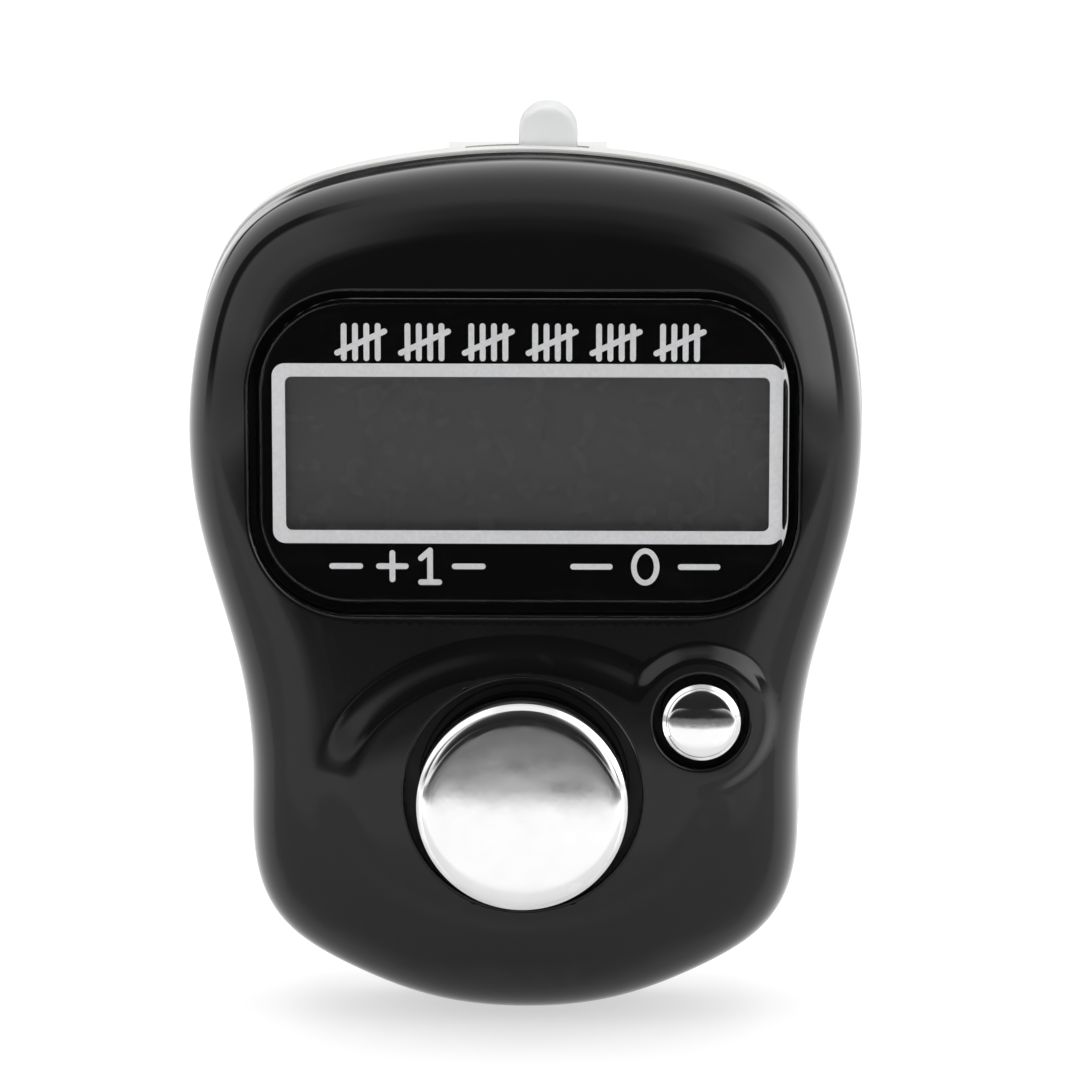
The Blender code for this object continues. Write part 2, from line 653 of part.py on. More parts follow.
def make_screws(door):
    for index, spot in enumerate(CASE_SCREWS, start=1):
        make_screw(f"case_screw_{index}", spot, CASE_SCREW_SEAT_Y, (1.5, 1.0, 0.7, 6.2))
    for side, spot in BOARD_SCREWS.items():
        make_screw(f"board_screw_{side}", spot, BOARD_BACK_Y, (0.95, 0.55, 0.42, 2.9))
    make_screw("battery_door_screw", DOOR_SCREW_XZ, BACK_Y - 0.7, (1.1, 0.55, 0.6, 1.6), door)


# ---------------------------------------------------------------- buttons

def make_button(name, spot, radius, top_y, flange):
    flange_radius, flange_front_y, flange_back_y = flange
    nub_length = 0.25
    base_y = flange_back_y + nub_length
    height = base_y - top_y
    edge = 0.35 * min(1.0, radius / 3)
    corner = [
        (radius - edge * (1 - math.sin(a)), height - edge * (1 - math.cos(a)))
        for a in (0.0, math.radians(30), math.radians(60), math.radians(90))
    ]
    flange_top = base_y - flange_front_y
    nub_radius = 0.35 * radius
    profile = [(0.0, height)] + corner + [
        (radius, flange_top), (flange_radius, flange_top), (flange_radius, nub_length),
        (nub_radius, nub_length), (nub_radius, 0.0), (0.0, 0.0),
    ]
    x, z = spot
    return turned(name, profile, (x, base_y, z), CHROME, steps=36)


def make_dome(name, spot, top_y, top_radius, foot_radius):
    """A rubber cap on the board, open underneath, that a button presses flat."""
    foot_y = BOARD_FRONT_Y - GAP
    height = foot_y - top_y
    rim = 0.5
    web = 0.45
    shoulder = 0.7
    profile = [
        (0.0, height), (top_radius, height), (top_radius, height - shoulder - 0.3),
        (foot_radius - 0.7, rim), (foot_radius, rim), (foot_radius, 0.0),
        (foot_radius - 0.7 - web, 0.0), (top_radius - web, height - shoulder - 0.35),
        (top_radius - web, height - shoulder), (0.0, height - shoulder),
    ]
    x, z = spot
    turned(name, profile, (x, foot_y, z), DOME_RUBBER, steps=20)
    return top_y + shoulder


def make_pill(name, spot, front_y, back_y, radius, parent):
    x, z = spot
    height = back_y - front_y
    profile = [(0.0, height), (radius - 0.1, height), (radius, height - 0.1), (radius, 0.0), (0.0, 0.0)]
    turned(name, profile, (x, back_y, z), CARBON, steps=14, parent=parent)


def make_buttons():
    count = make_button("count_button", COUNT_XZ, COUNT_RADIUS, COUNT_TOP_Y, COUNT_FLANGE)
    ceiling_y = make_dome("count_dome", COUNT_XZ, COUNT_FLANGE[2] + 0.3, 2.3, 4.6)
    back_y = BOARD_FRONT_Y - GAP - COUNT_TRAVEL
    make_pill("count_contact_pill", COUNT_XZ, ceiling_y + GAP, back_y, 1.6, count)

    reset = make_button("reset_button", RESET_XZ, RESET_RADIUS, RESET_TOP_Y, RESET_FLANGE)
    ceiling_y = make_dome("reset_dome", RESET_XZ, RESET_FLANGE[2] + 0.4, 1.35, 2.7)
    back_y = BOARD_FRONT_Y - GAP - RESET_TRAVEL
    make_pill("reset_contact_pill", RESET_XZ, ceiling_y + GAP, back_y, 0.8, reset)


# ---------------------------------------------------------------- strap

def strap_section(centre, normal, half_width, half_thickness):
    """Eight points of a flat section with its corners cut: width along X."""
    cut = 0.45 * half_thickness
    corners = (
        (half_width - cut, half_thickness), (half_width, half_thickness - cut),
        (half_width, cut - half_thickness), (half_width - cut, -half_thickness),
        (cut - half_width, -half_thickness), (-half_width, cut - half_thickness),
        (-half_width, half_thickness - cut), (cut - half_width, half_thickness),
    )
    x, y, z = centre
    return [scaled(x + w, y + t * normal[0], z + t * normal[1]) for w, t in corners]


def ease(value, low, high):
    share = min(max((value - low) / (high - low), 0.0), 1.0)
    return share * share * (3 - 2 * share)


def make_band():
    """From its head inside the case, around the finger and into the keeper."""
    path = smooth_path(BAND_ROUTE, 3, closed=False)
    steps = np.linalg.norm(np.diff(path, axis=0), axis=1)
    travelled = np.concatenate([[0.0], np.cumsum(steps)])
    tangents = np.gradient(path, axis=0)
    head_end = 0.9
    neck_start = travelled[-1] - 9.0
    neck_end = travelled[-1] - 3.5
    rings = []
    for (y, z), (dy, dz), distance in zip(path, tangents, travelled):
        length = math.hypot(dy, dz)
        normal = (-dz / length, dy / length)
        neck = ease(distance, neck_start, neck_end)
        in_head = distance < head_end
        wide = BAND_HEAD_HALF_WIDTH if in_head else BAND_HALF_WIDTH
        half_width = wide + neck * (TAIL_HALF_WIDTH - BAND_HALF_WIDTH)
        half_thickness = BAND_HALF_THICKNESS + neck * (TAIL_HALF_THICKNESS - BAND_HALF_THICKNESS)
        rings.append(strap_section((neck * TAIL_X, y, z), normal, half_width, half_thickness))
    add_part("strap_band", loft("strap_band", rings), STRAP_CLEAR)


def make_tail():
    """The narrow end in the keeper's slot, with a round tip, along its own sliding axis."""
    rings = []
    start = -TAIL_LENGTH
    stations = [(start, 1.0)]
    for degrees in (0, 25, 45, 60, 72, 82):
        angle = math.radians(degrees)
        stations.append((TAIL_HALF_WIDTH * (math.sin(angle) - 1), math.cos(angle)))
    for along, share in stations:
        section = strap_section((0.0, 0.0, 0.0), (1.0, 0.0), TAIL_HALF_WIDTH * share, TAIL_HALF_THICKNESS)
        lift = Vector((0.0, 0.0, along * MM))
        rings.append([point + lift for point in section])
    tip_y, tip_z = TAIL_TIP
    mesh = loft("strap_tail", rings)
    turn = Matrix.Rotation(STRAP_TILT, 4, "X")
    add_part("strap_tail", mesh, STRAP_CLEAR, (TAIL_X, tip_y, tip_z), turn)


make_front_shell()
make_rear_shell()
make_display()
make_board()
make_cell()
make_screws(make_door())
make_buttons()
make_band()
make_tail()
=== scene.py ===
"""Looks of the finger-worn tally counter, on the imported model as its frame.

X runs along the finger, Z runs up the display and the face looks along -Y. Lengths are in
millimetres and become metres where a mesh is made.
"""

from math import atan2, copysign, cos, dist, hypot, pi, radians, sin

import bmesh
import bpy
import numpy as np
from mathutils import Matrix, Vector, geometry


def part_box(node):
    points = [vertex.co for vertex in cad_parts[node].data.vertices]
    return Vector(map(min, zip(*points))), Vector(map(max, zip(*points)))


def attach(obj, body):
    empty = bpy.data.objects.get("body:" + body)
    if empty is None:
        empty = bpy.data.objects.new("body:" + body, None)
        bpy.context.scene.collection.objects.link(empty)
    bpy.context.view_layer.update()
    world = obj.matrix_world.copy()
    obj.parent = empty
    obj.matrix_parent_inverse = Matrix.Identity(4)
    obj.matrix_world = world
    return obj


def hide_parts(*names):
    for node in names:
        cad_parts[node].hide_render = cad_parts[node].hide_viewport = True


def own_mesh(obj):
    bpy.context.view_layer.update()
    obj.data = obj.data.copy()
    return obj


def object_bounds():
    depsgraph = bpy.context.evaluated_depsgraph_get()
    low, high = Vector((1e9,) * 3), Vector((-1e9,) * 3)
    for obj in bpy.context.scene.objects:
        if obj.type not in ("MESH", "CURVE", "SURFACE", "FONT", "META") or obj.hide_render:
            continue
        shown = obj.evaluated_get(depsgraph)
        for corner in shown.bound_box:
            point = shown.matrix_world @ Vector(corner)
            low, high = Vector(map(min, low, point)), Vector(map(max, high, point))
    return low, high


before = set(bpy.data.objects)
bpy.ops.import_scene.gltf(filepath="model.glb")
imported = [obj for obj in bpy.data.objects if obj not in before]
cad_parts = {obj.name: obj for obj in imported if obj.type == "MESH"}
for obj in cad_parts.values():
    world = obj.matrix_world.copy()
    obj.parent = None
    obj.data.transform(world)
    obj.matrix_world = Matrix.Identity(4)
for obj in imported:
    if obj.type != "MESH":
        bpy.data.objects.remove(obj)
CAD_BOX = [list(corner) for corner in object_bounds()]
MM = 0.001

# ---- camera

CAMERA_TARGET = Vector((0.66, -18.0, 2.31))
CAMERA_DISTANCE = 230.0
CAMERA_AZIMUTH = radians(-1.0)
CAMERA_ELEVATION = radians(10.0)
CAMERA_LENS = 163.2
SENSOR_WIDTH = 36.0


def placed(name, data):
    """A new object in the scene."""
    item = bpy.data.objects.new(name, data)
    bpy.context.scene.collection.objects.link(item)
    return item


def add_camera():
    data = bpy.data.cameras.new("camera")
    data.lens = CAMERA_LENS
    data.sensor_width = SENSOR_WIDTH
    data.clip_start = 0.01
    data.clip_end = 30.0
    camera = placed("camera", data)
    level = cos(CAMERA_ELEVATION)
    sight = Vector((
        sin(CAMERA_AZIMUTH) * level, cos(CAMERA_AZIMUTH) * level,
        -sin(CAMERA_ELEVATION),
    ))
    camera.location = (CAMERA_TARGET - CAMERA_DISTANCE * sight) * MM
    camera.rotation_euler = sight.to_track_quat("-Z", "Y").to_euler()
    bpy.context.scene.camera = camera


add_camera()

# ---- sizes, as in the CAD

FACE_MIDDLE_Y = -22.5
BACK_Y = -10.0
PARTING_Y = -14.0
GAP = 0.05
SHOULDER_Y = -16.8
FACE_RISE = 5.3
FACE_CROWN = 0.4
FACE_FLATNESS = 9.0
FACE_EDGE = 2.5
SHOULDER_SCALE = 0.994
WALL = 1.4
REAR_OVERHANG = 1.006
REAR_EDGE_RADIUS = 1.6
FRONT_SEAM_EDGE = 0.12
REAR_SEAM_EDGE = 0.1

OUTLINE_HALF = (
    (0.0, 20.25), (5.0, 19.9), (9.1, 19.1), (12.0, 17.9), (14.1, 15.8), (15.3, 12.6),
    (15.85, 9.0), (15.85, 6.0), (15.4, 2.8), (14.4, -0.85), (13.45, -4.5), (13.05, -8.1),
    (13.05, -11.3), (12.75, -14.2), (11.3, -16.6), (8.35, -18.5), (4.4, -20.0), (0.0, -20.5),
)
RING_POINTS = 280
SKIN_SHARE = 0.9

LENS_Z = 6.95
RECESS_SIZE = (25.4, 15.1, 4.7)
RECESS_WALL_Y = -21.4
RECESS_FLOOR_Y = -20.7
LENS_SIZE = (24.5, 14.2, 4.25)
LENS_FRONT_Y = -21.75
LENS_BACK_Y = -20.87
WINDOW_SIZE = (23.1, 7.9, 0.6)
SEAT_BACK_Y = -19.7

HOLE_WALL_Y = -22.2
COUNT_XZ = (0.0, -8.95)
COUNT_HOLE_RADIUS = 5.55
COUNT_RADIUS = 4.9
COUNT_TOP_Y = -25.65
COUNT_FLANGE = (6.1, -20.55, -20.05)
COUNT_PAD = (9.3, 6.85, 0.5)
COUNT_PAD_Z = -8.8
RESET_XZ = (8.27, -5.45)
RESET_HOLE_RADIUS = 2.23
RESET_RADIUS = 1.82
RESET_TOP_Y = -23.25
RESET_FLANGE = (2.6, -20.2, -19.8)
FLANGE_NUB = 0.25
CAP_RINGS = 26
CAP_ROLL_POWER = 24
RESET_PAD_RADIUS = 3.45
PAD_HEIGHT = 0.5

CELL_XZ = (0.0, 4.0)
BORE_RADIUS = 6.2
DOOR_HALF_WIDTH = 7.4
DOOR_Z = (-4.6, 11.5)
DOOR_THICKNESS = 1.1
DOOR_CORNER = 1.2
DOOR_SCREW_XZ = (0.0, -3.5)
DOOR_SCREW_SEAT_Y = BACK_Y - 0.7
GRIP_GROOVES_Z = (9.9, 9.2, 8.5)
PLUS_ARMS = (1.1, 0.2)
CASE_SCREWS = ((-8.6, 16.0), (8.6, 16.0), (-8.9, -14.2), (8.9, -14.2))
CASE_SCREW_SEAT_Y = -11.6
# Screws: head radius and height, shank radius and length.
CASE_SCREW = (1.5, 1.0, 0.7, 6.2)
BOARD_SCREW = (0.95, 0.55, 0.42, 2.9)
DOOR_SCREW = (1.1, 0.55, 0.6, 1.6)
THREAD_PITCH = 0.35
THREAD_DEPTH = 0.09

STRAP_TILT = radians(24.8)
TAIL_TIP = (-13.0, 22.4)
TAIL_X = 1.0
TAIL_HALF_WIDTH = 1.4
TAIL_HALF_THICKNESS = 0.45
TAIL_LENGTH = 9.2
BAND_HALF_WIDTH = 2.8
BAND_HALF_THICKNESS = 0.6
BAND_HEAD_HALF_WIDTH = 4.2
BAND_SLOT_Z = -13.5
BAND_ROUTE = (
    (-12.3, -13.5), (-11.4, -13.5), (-9.0, -13.5), (-4.5, -13.6), (1.0, -12.6), (6.5, -9.4),
    (10.0, -4.0), (10.6, 1.0), (9.0, 6.3), (5.0, 10.4), (0.0, 12.2), (-4.5, 12.4),
    (-7.3, 12.1), (-8.45, 12.6), (-9.08, 13.9),
)
KEEPER_LENGTHS = (2.9, 10.3)
KEEPER_HALF = (3.8, 1.35)
KEEPER_SLOT_HALF = (2.95, 0.65)

DOME_FOOT_Y = -16.95

TOWARDS_FRONT = Matrix.Rotation(radians(90), 4, "X")
TOWARDS_REAR = Matrix.Rotation(radians(-90), 4, "X")


# ---- mesh helpers

class Skin:
    """Points in millimetres and faces, gathered row by row into one mesh."""

    def __init__(self):
        self.points = []
        self.faces = []
        self.normals = {}

    def row(self, points):
        start = len(self.points)
        self.points.extend(points)
        return list(range(start, start + len(points)))

    def level(self, loop, y):
        """A row of (x, z) points at one depth."""
        return self.row([(x, y, z) for x, z in loop])

    def bridge(self, near, far):
        count = len(near)
        for i in range(count):
            j = (i + 1) % count
            self.faces.append((near[i], near[j], far[j], far[i]))

    def chain(self, rows):
        for near, far in zip(rows, rows[1:]):
            self.bridge(near, far)

    def mesh(self, name, sharp=32.0):
        mesh = bpy.data.meshes.new(name)
        mesh.from_pydata([Vector(point) * MM for point in self.points], [], self.faces)
        smooth(mesh, sharp)
        if self.normals:
            blank = Vector((0.0, 0.0, 0.0))
            known = [self.normals.get(i, blank) for i in range(len(self.points))]
            mesh.normals_split_custom_set_from_vertices(known)
        return mesh


def smooth(mesh, sharp=32.0):
    bm = bmesh.new()
    bm.from_mesh(mesh)
    bmesh.ops.recalc_face_normals(bm, faces=bm.faces)
    bm.to_mesh(mesh)
    bm.free()
    mesh.shade_smooth()
    mesh.set_sharp_from_angle(angle=radians(sharp))


def rings_mesh(name, rings, sharp=32.0):
    """A closed skin through rings of equal point counts, with flat ends."""
    skin = Skin()
    rows = [skin.row(ring) for ring in rings]
    skin.chain(rows)
    skin.faces.append(tuple(rows[0]))
    skin.faces.append(tuple(rows[-1]))
    return skin.mesh(name, sharp)


def turned_mesh(name, profile, spot, y, rotation=TOWARDS_FRONT, steps=72, sharp=32.0):
    """A piece turned about the spot (x, z) from (radius, height above y) points."""
    skin = Skin()
    place = Matrix.Translation((spot[0], y, spot[1])) @ rotation
    rows = []
    for radius, height in profile[1:-1]:
        circle = circle_loop(radius, (0.0, 0.0), steps)
        rows.append(skin.row([place @ Vector((x, z, height)) for x, z in circle]))
    skin.chain(rows)
    for (_, height), row in ((profile[0], rows[0]), (profile[-1], rows[-1])):
        tip = skin.row([place @ Vector((0.0, 0.0, height))])[0]
        for i in range(steps):
            skin.faces.append((row[i], row[(i + 1) % steps], tip))
    return skin.mesh(name, sharp)


def prism_mesh(name, rings_at, sharp=32.0):
    """A closed prism along Y: (loop of (x, z), y) pairs in order."""
    return rings_mesh(name, [[(x, y, z) for x, z in loop] for loop, y in rings_at], sharp)


def box_mesh(name, low, high, place=None, bevel=0.0):
    bm = bmesh.new()
    low, high = Vector(low), Vector(high)
    local = Matrix.Translation((low + high) / 2) @ Matrix.Diagonal((*(high - low), 1.0))
    bmesh.ops.create_cube(bm, size=1.0, matrix=local)
    if bevel:
        bmesh.ops.bevel(bm, geom=list(bm.edges), offset=bevel, segments=3, profile=0.5, affect="EDGES")
    bm.transform(Matrix.Scale(MM, 4) @ (place or Matrix.Identity(4)))
    mesh = bpy.data.meshes.new(name)
    bm.to_mesh(mesh)
    bm.free()
    smooth(mesh)
    return mesh


def post_mesh(name, spot, half, low_y, high_y):
    """A box along Y around the spot (x, z), with half its width and height."""
    (x, z), (half_x, half_z) = spot, half
    return box_mesh(name, (x - half_x, low_y, z - half_z), (x + half_x, high_y, z + half_z))


def joined(name, meshes, sharp=32.0):
    """Several closed meshes as one."""
    bm = bmesh.new()
    for mesh in meshes:
        bm.from_mesh(mesh)
    result = bpy.data.meshes.new(name)
    bm.to_mesh(result)
    bm.free()
    smooth(result, sharp)
    return result


def carved(name, mesh, additions=(), removals=(), sharp=32.0):
    """The mesh joined with some closed meshes and then cut by others."""
    work = placed(name + "_work", mesh)
    tools = []
    for operation, group in (("UNION", additions), ("DIFFERENCE", removals)):
        for tool_mesh in group:
            tool = placed(name + "_tool", tool_mesh)
            tools.append(tool)
            modifier = work.modifiers.new("cut", "BOOLEAN")
            modifier.object = tool
            modifier.operation = operation
            modifier.solver = "EXACT"
    graph = bpy.context.evaluated_depsgraph_get()
    result = bpy.data.meshes.new_from_object(work.evaluated_get(graph))
    for item in tools + [work]:
        bpy.data.objects.remove(item)
    result.name = name
    smooth(result, sharp)
    weigh_normals(result, sharp)
    return result


def weigh_normals(mesh, sharp):
    """Corner normals weighted by area, which keeps flat faces flat beside rounded edges."""
    least = cos(radians(sharp))
    around = [[] for _ in mesh.vertices]
    for face in mesh.polygons:
        for index in face.vertices:
            around[index].append((face.normal.copy(), face.area))
    normals = []
    for face in mesh.polygons:
        for index in face.vertices:
            total = Vector((0.0, 0.0, 0.0))
            for normal, area in around[index]:
                if normal.dot(face.normal) > least:
                    total += normal * area
            normals.append(total.normalized() if total.length else face.normal.copy())
    mesh.normals_split_custom_set(normals)


def add_piece(name, mesh, material, body, replaced=()):
    item = placed(name, mesh)
    mesh.materials.clear()
    mesh.materials.append(material)
    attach(item, body)
    if replaced:
        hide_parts(*replaced)
    return item


def rounded_loop(size, centre_z=0.0, grow=0.0, arc_steps=20, straights=(32, 12), centre_x=0.0):
    """A rounded rectangle of (x, z) points with the same count at every growth."""
    width, height, radius = size
    half_x = width / 2 - radius
    half_z = height / 2 - radius
    corners = ((half_x, half_z), (-half_x, half_z), (-half_x, -half_z), (half_x, -half_z))
    reach = radius + grow

    def on_arc(quarter, turns):
        angle = radians(90 * turns)
        x, z = corners[quarter % 4]
        return centre_x + x + reach * cos(angle), centre_z + z + reach * sin(angle)

    points = []
    for quarter in range(4):
        points.extend(on_arc(quarter, quarter + step / arc_steps) for step in range(arc_steps + 1))
        last, goal = points[-1], on_arc(quarter + 1, quarter + 1)
        count = straights[quarter % 2]
        for share in np.arange(1, count) / count:
            points.append(tuple(a + (b - a) * share for a, b in zip(last, goal)))
    return points


def circle_loop(radius, centre, steps):
    turn = 2 * pi / steps
    x, z = centre
    return [(x + radius * cos(i * turn), z + radius * sin(i * turn)) for i in range(steps)]


def arc_corner(radius, height, edge, steps=4):
    """Profile points that round a turned piece's top corner, from the top outwards."""
    points = []
    for step in range(steps + 1):
        angle = radians(90 * step / steps)
        points.append((radius - edge * (1 - sin(angle)), height - edge * (1 - cos(angle))))
    return points


def ease(value, low, high):
    share = np.clip((value - low) / (high - low), 0.0, 1.0)
    return share * share * (3 - 2 * share)


def smooth_path(points, steps, closed):
    """Catmull-Rom curve through the points, with steps samples on each span."""
    control = [np.array(point, dtype=float) for point in points]
    if closed:
        control = [control[-1]] + control + control[:2]
    else:
        control = [2 * control[0] - control[1]] + control + [2 * control[-1] - control[-2]]
    samples = []
    for a, b, c, d in zip(control, control[1:], control[2:], control[3:]):
        for step in range(steps):
            t = step / steps
            samples.append(0.5 * (
                2 * b + (c - a) * t + (2 * a - 5 * b + 4 * c - d) * t**2
                + (3 * b - a - 3 * c + d) * t**3
            ))
    if not closed:
        samples.append(control[-2])
    return np.array(samples)


# ---- the case's surface

def smooth_radii():
    """The outline as a radius for each angle, with the small ripples filtered away."""
    left = [(-x, z) for x, z in reversed(OUTLINE_HALF[1:-1])]
    path = smooth_path(list(OUTLINE_HALF) + left, 40, closed=True)
    count = 1440
    angles = np.arange(count) * 2 * pi / count
    radii = np.interp(
        angles, np.arctan2(path[:, 0], path[:, 1]), np.linalg.norm(path, axis=1),
        period=2 * pi,
    )
    waves = np.fft.rfft(radii)
    order = np.arange(len(waves))
    waves *= 1 - ease(order, 13, 24)
    return angles, np.fft.irfft(waves, count)


OUTLINE_ANGLES, OUTLINE_RADII = smooth_radii()


def outline_radius(angle):
    return np.interp(angle, OUTLINE_ANGLES, OUTLINE_RADII, period=2 * pi)


def even_angles(count):
    """Angles that give points at equal steps along the outline."""
    x = OUTLINE_RADII * np.sin(OUTLINE_ANGLES)
    z = OUTLINE_RADII * np.cos(OUTLINE_ANGLES)
    steps = np.hypot(np.diff(x, append=x[0]), np.diff(z, append=z[0]))
    travelled = np.concatenate([[0.0], np.cumsum(steps)])
    wanted = np.arange(count) * travelled[-1] / count
    return np.interp(wanted, travelled, np.append(OUTLINE_ANGLES, 2 * pi))


RING_ANGLES = even_angles(RING_POINTS)


def outline_loop(scale=1.0, inset=0.0):
    radii = outline_radius(RING_ANGLES) * scale - inset
    return [(r * sin(a), r * cos(a)) for r, a in zip(radii, RING_ANGLES)]


def face_share(x, z):
    return np.hypot(x, z) / (outline_radius(np.arctan2(x, z)) * SHOULDER_SCALE)


def face_depth(share):
    """Y of the face where share is 0 at its middle and 1 at the shoulder."""
    share = np.minimum(share, 1.0)
    rounding = (1 - share**FACE_FLATNESS) ** (1 / FACE_EDGE)
    return SHOULDER_Y - FACE_RISE * rounding - FACE_CROWN * (1 - share**2)


def recess_distance(x, z):
    """Signed distance from the display recess's edge, positive outside it."""
    width, height, radius = RECESS_SIZE
    over_x = np.abs(x) - (width / 2 - radius)
    over_z = np.abs(z - LENS_Z) - (height / 2 - radius)
    outside = np.hypot(np.maximum(over_x, 0), np.maximum(over_z, 0))
    return outside + np.minimum(np.maximum(over_x, over_z), 0) - radius


def from_hole(centre, radius):
    return lambda x, z: np.hypot(x - centre[0], z - centre[1]) - radius


HOLES = (
    (recess_distance, 0.22), (from_hole(COUNT_XZ, COUNT_HOLE_RADIUS), 0.17),
    (from_hole(RESET_XZ, RESET_HOLE_RADIUS), 0.16),
)
PAD_SLOPE = (0.83, 1.07)


def pad_lift(x, z):
    """Height of the smooth collars around the buttons."""
    reach = np.hypot(x / COUNT_PAD[0], (z - COUNT_PAD_Z) / COUNT_PAD[1])
    count = 1 - ease(reach, *PAD_SLOPE)
    reach = np.hypot(x - RESET_XZ[0], z - RESET_XZ[1]) / RESET_PAD_RADIUS
    reset = 1 - ease(reach, *PAD_SLOPE)
    return PAD_HEIGHT * (count + reset - count * reset)


def face_surface(x, z):
    """Y of the finished face with its collars and the rounded rims of its holes."""
    y = face_depth(face_share(x, z)) - pad_lift(x, z)
    for distance, radius in HOLES:
        near = radius - np.clip(distance(x, z), 0.0, radius)
        y = y + radius - np.sqrt(radius**2 - near**2)
    return y


def raised(plan, depths):
    """Points from a plan of (x, z) and the Y of each."""
    return [(x, y, z) for (x, z), y in zip(plan, depths)]


def face_normals(x, z):
    step = 0.01
    slope_x = (face_surface(x + step, z) - face_surface(x - step, z)) / (2 * step)
    slope_z = (face_surface(x, z + step) - face_surface(x, z - step)) / (2 * step)
    normals = np.stack([slope_x, -np.ones_like(slope_x), slope_z], axis=1)
    return normals / np.linalg.norm(normals, axis=1, keepdims=True)


# ---- front shell

def scattered(fixed, wanted, spacing):
    """Those wanted points that keep their spacing from the fixed ones and each other."""
    cells = {}

    def cell(point):
        return int(point[0] // spacing), int(point[1] // spacing)

    def crowded(point):
        column, row = cell(point)
        near = [(column + i, row + j) for i in (-1, 0, 1) for j in (-1, 0, 1)]
        return any(dist(point, other) < spacing for key in near for other in cells.get(key, ()))

    def keep(point):
        cells.setdefault(cell(point), []).append(point)
        return point

    for point in fixed:
        keep(point)
    return [keep(point) for point in wanted if not crowded(point)]


def skin_points():
    """Plan of the face inside its outer rings: its points and the edges that bound it."""
    points = outline_loop(SHOULDER_SCALE * SKIN_SHARE)
    loops = [list(range(len(points)))]
    rims = []
    makers = (
        lambda grow: rounded_loop(RECESS_SIZE, LENS_Z, grow),
        lambda grow: circle_loop(COUNT_HOLE_RADIUS + grow, COUNT_XZ, 96),
        lambda grow: circle_loop(RESET_HOLE_RADIUS + grow, RESET_XZ, 56),
    )
    for maker, (_, radius) in zip(makers, HOLES):
        for share in (0.0, 0.06, 0.16, 0.32, 0.55, 0.8, 1.0, 1.6):
            loop = maker(radius * share)
            start = len(points)
            points.extend(loop)
            if share == 0.0:
                rims.append(list(range(start, len(points))))
    loops.extend(rims)

    wanted = []
    for share in np.arange(PAD_SLOPE[0] - 0.04, PAD_SLOPE[1] + 0.05, 0.025):
        for x, z in circle_loop(share, (0.0, 0.0), 180):
            wanted.append((x * COUNT_PAD[0], COUNT_PAD_Z + z * COUNT_PAD[1]))
        wanted.extend(circle_loop(share * RESET_PAD_RADIUS, RESET_XZ, 96))
    grid = 0.5
    for row, z in enumerate(np.arange(-20.5, 20.5, grid)):
        for x in np.arange(-16.0 + grid / 2 * (row % 2), 16.0, grid):
            wanted.append((x, z))
    wanted = np.array(wanted)
    inside = face_share(wanted[:, 0], wanted[:, 1]) < SKIN_SHARE - 0.008
    for distance, radius in HOLES:
        inside &= distance(wanted[:, 0], wanted[:, 1]) > 1.7 * radius
    points.extend(scattered(points, wanted[inside].tolist(), 0.17))
    edges = []
    for loop in loops:
        edges.extend((loop[i], loop[(i + 1) % len(loop)]) for i in range(len(loop)))
    return points, edges, rims


def plan_triangles(points, edges):
    flat = [Vector(point) for point in points]
    made = geometry.delaunay_2d_cdt(flat, edges, [], 0, 1e-5)
    source = [ids[0] for ids in made[3]]
    faces = [tuple(source[i] for i in face) for face in made[2]]
    plan = np.array(points)
    middles = np.array([plan[list(face)].mean(axis=0) for face in faces])
    x, z = middles[:, 0], middles[:, 1]
    solid = face_share(x, z) < SKIN_SHARE
    for distance, _ in HOLES:
        solid &= distance(x, z) > 0
    return [face for face, kept in zip(faces, solid) if kept]


def inner_plan(points):
    """The same plan on the shell's inside: shrunk at its edge, wider round the recess."""
    plan = np.array(points)
    x, z = plan[:, 0], plan[:, 1]
    share = face_share(x, z)
    shrink = 1 - WALL / 15 * share**8
    away = recess_distance(x, z)
    push = 0.8 * np.clip(1 - away / 1.6, 0.0, 1.0)
    toward = np.stack([
        recess_distance(x + 0.01, z) - recess_distance(x - 0.01, z),
        recess_distance(x, z + 0.01) - recess_distance(x, z - 0.01),
    ], axis=1)
    toward /= np.maximum(np.linalg.norm(toward, axis=1, keepdims=True), 1e-9)
    y = face_depth(share) + WALL * (1 - share**10) + 0.2
    moved = plan * shrink[:, None] + toward * push[:, None]
    return raised(moved, y)


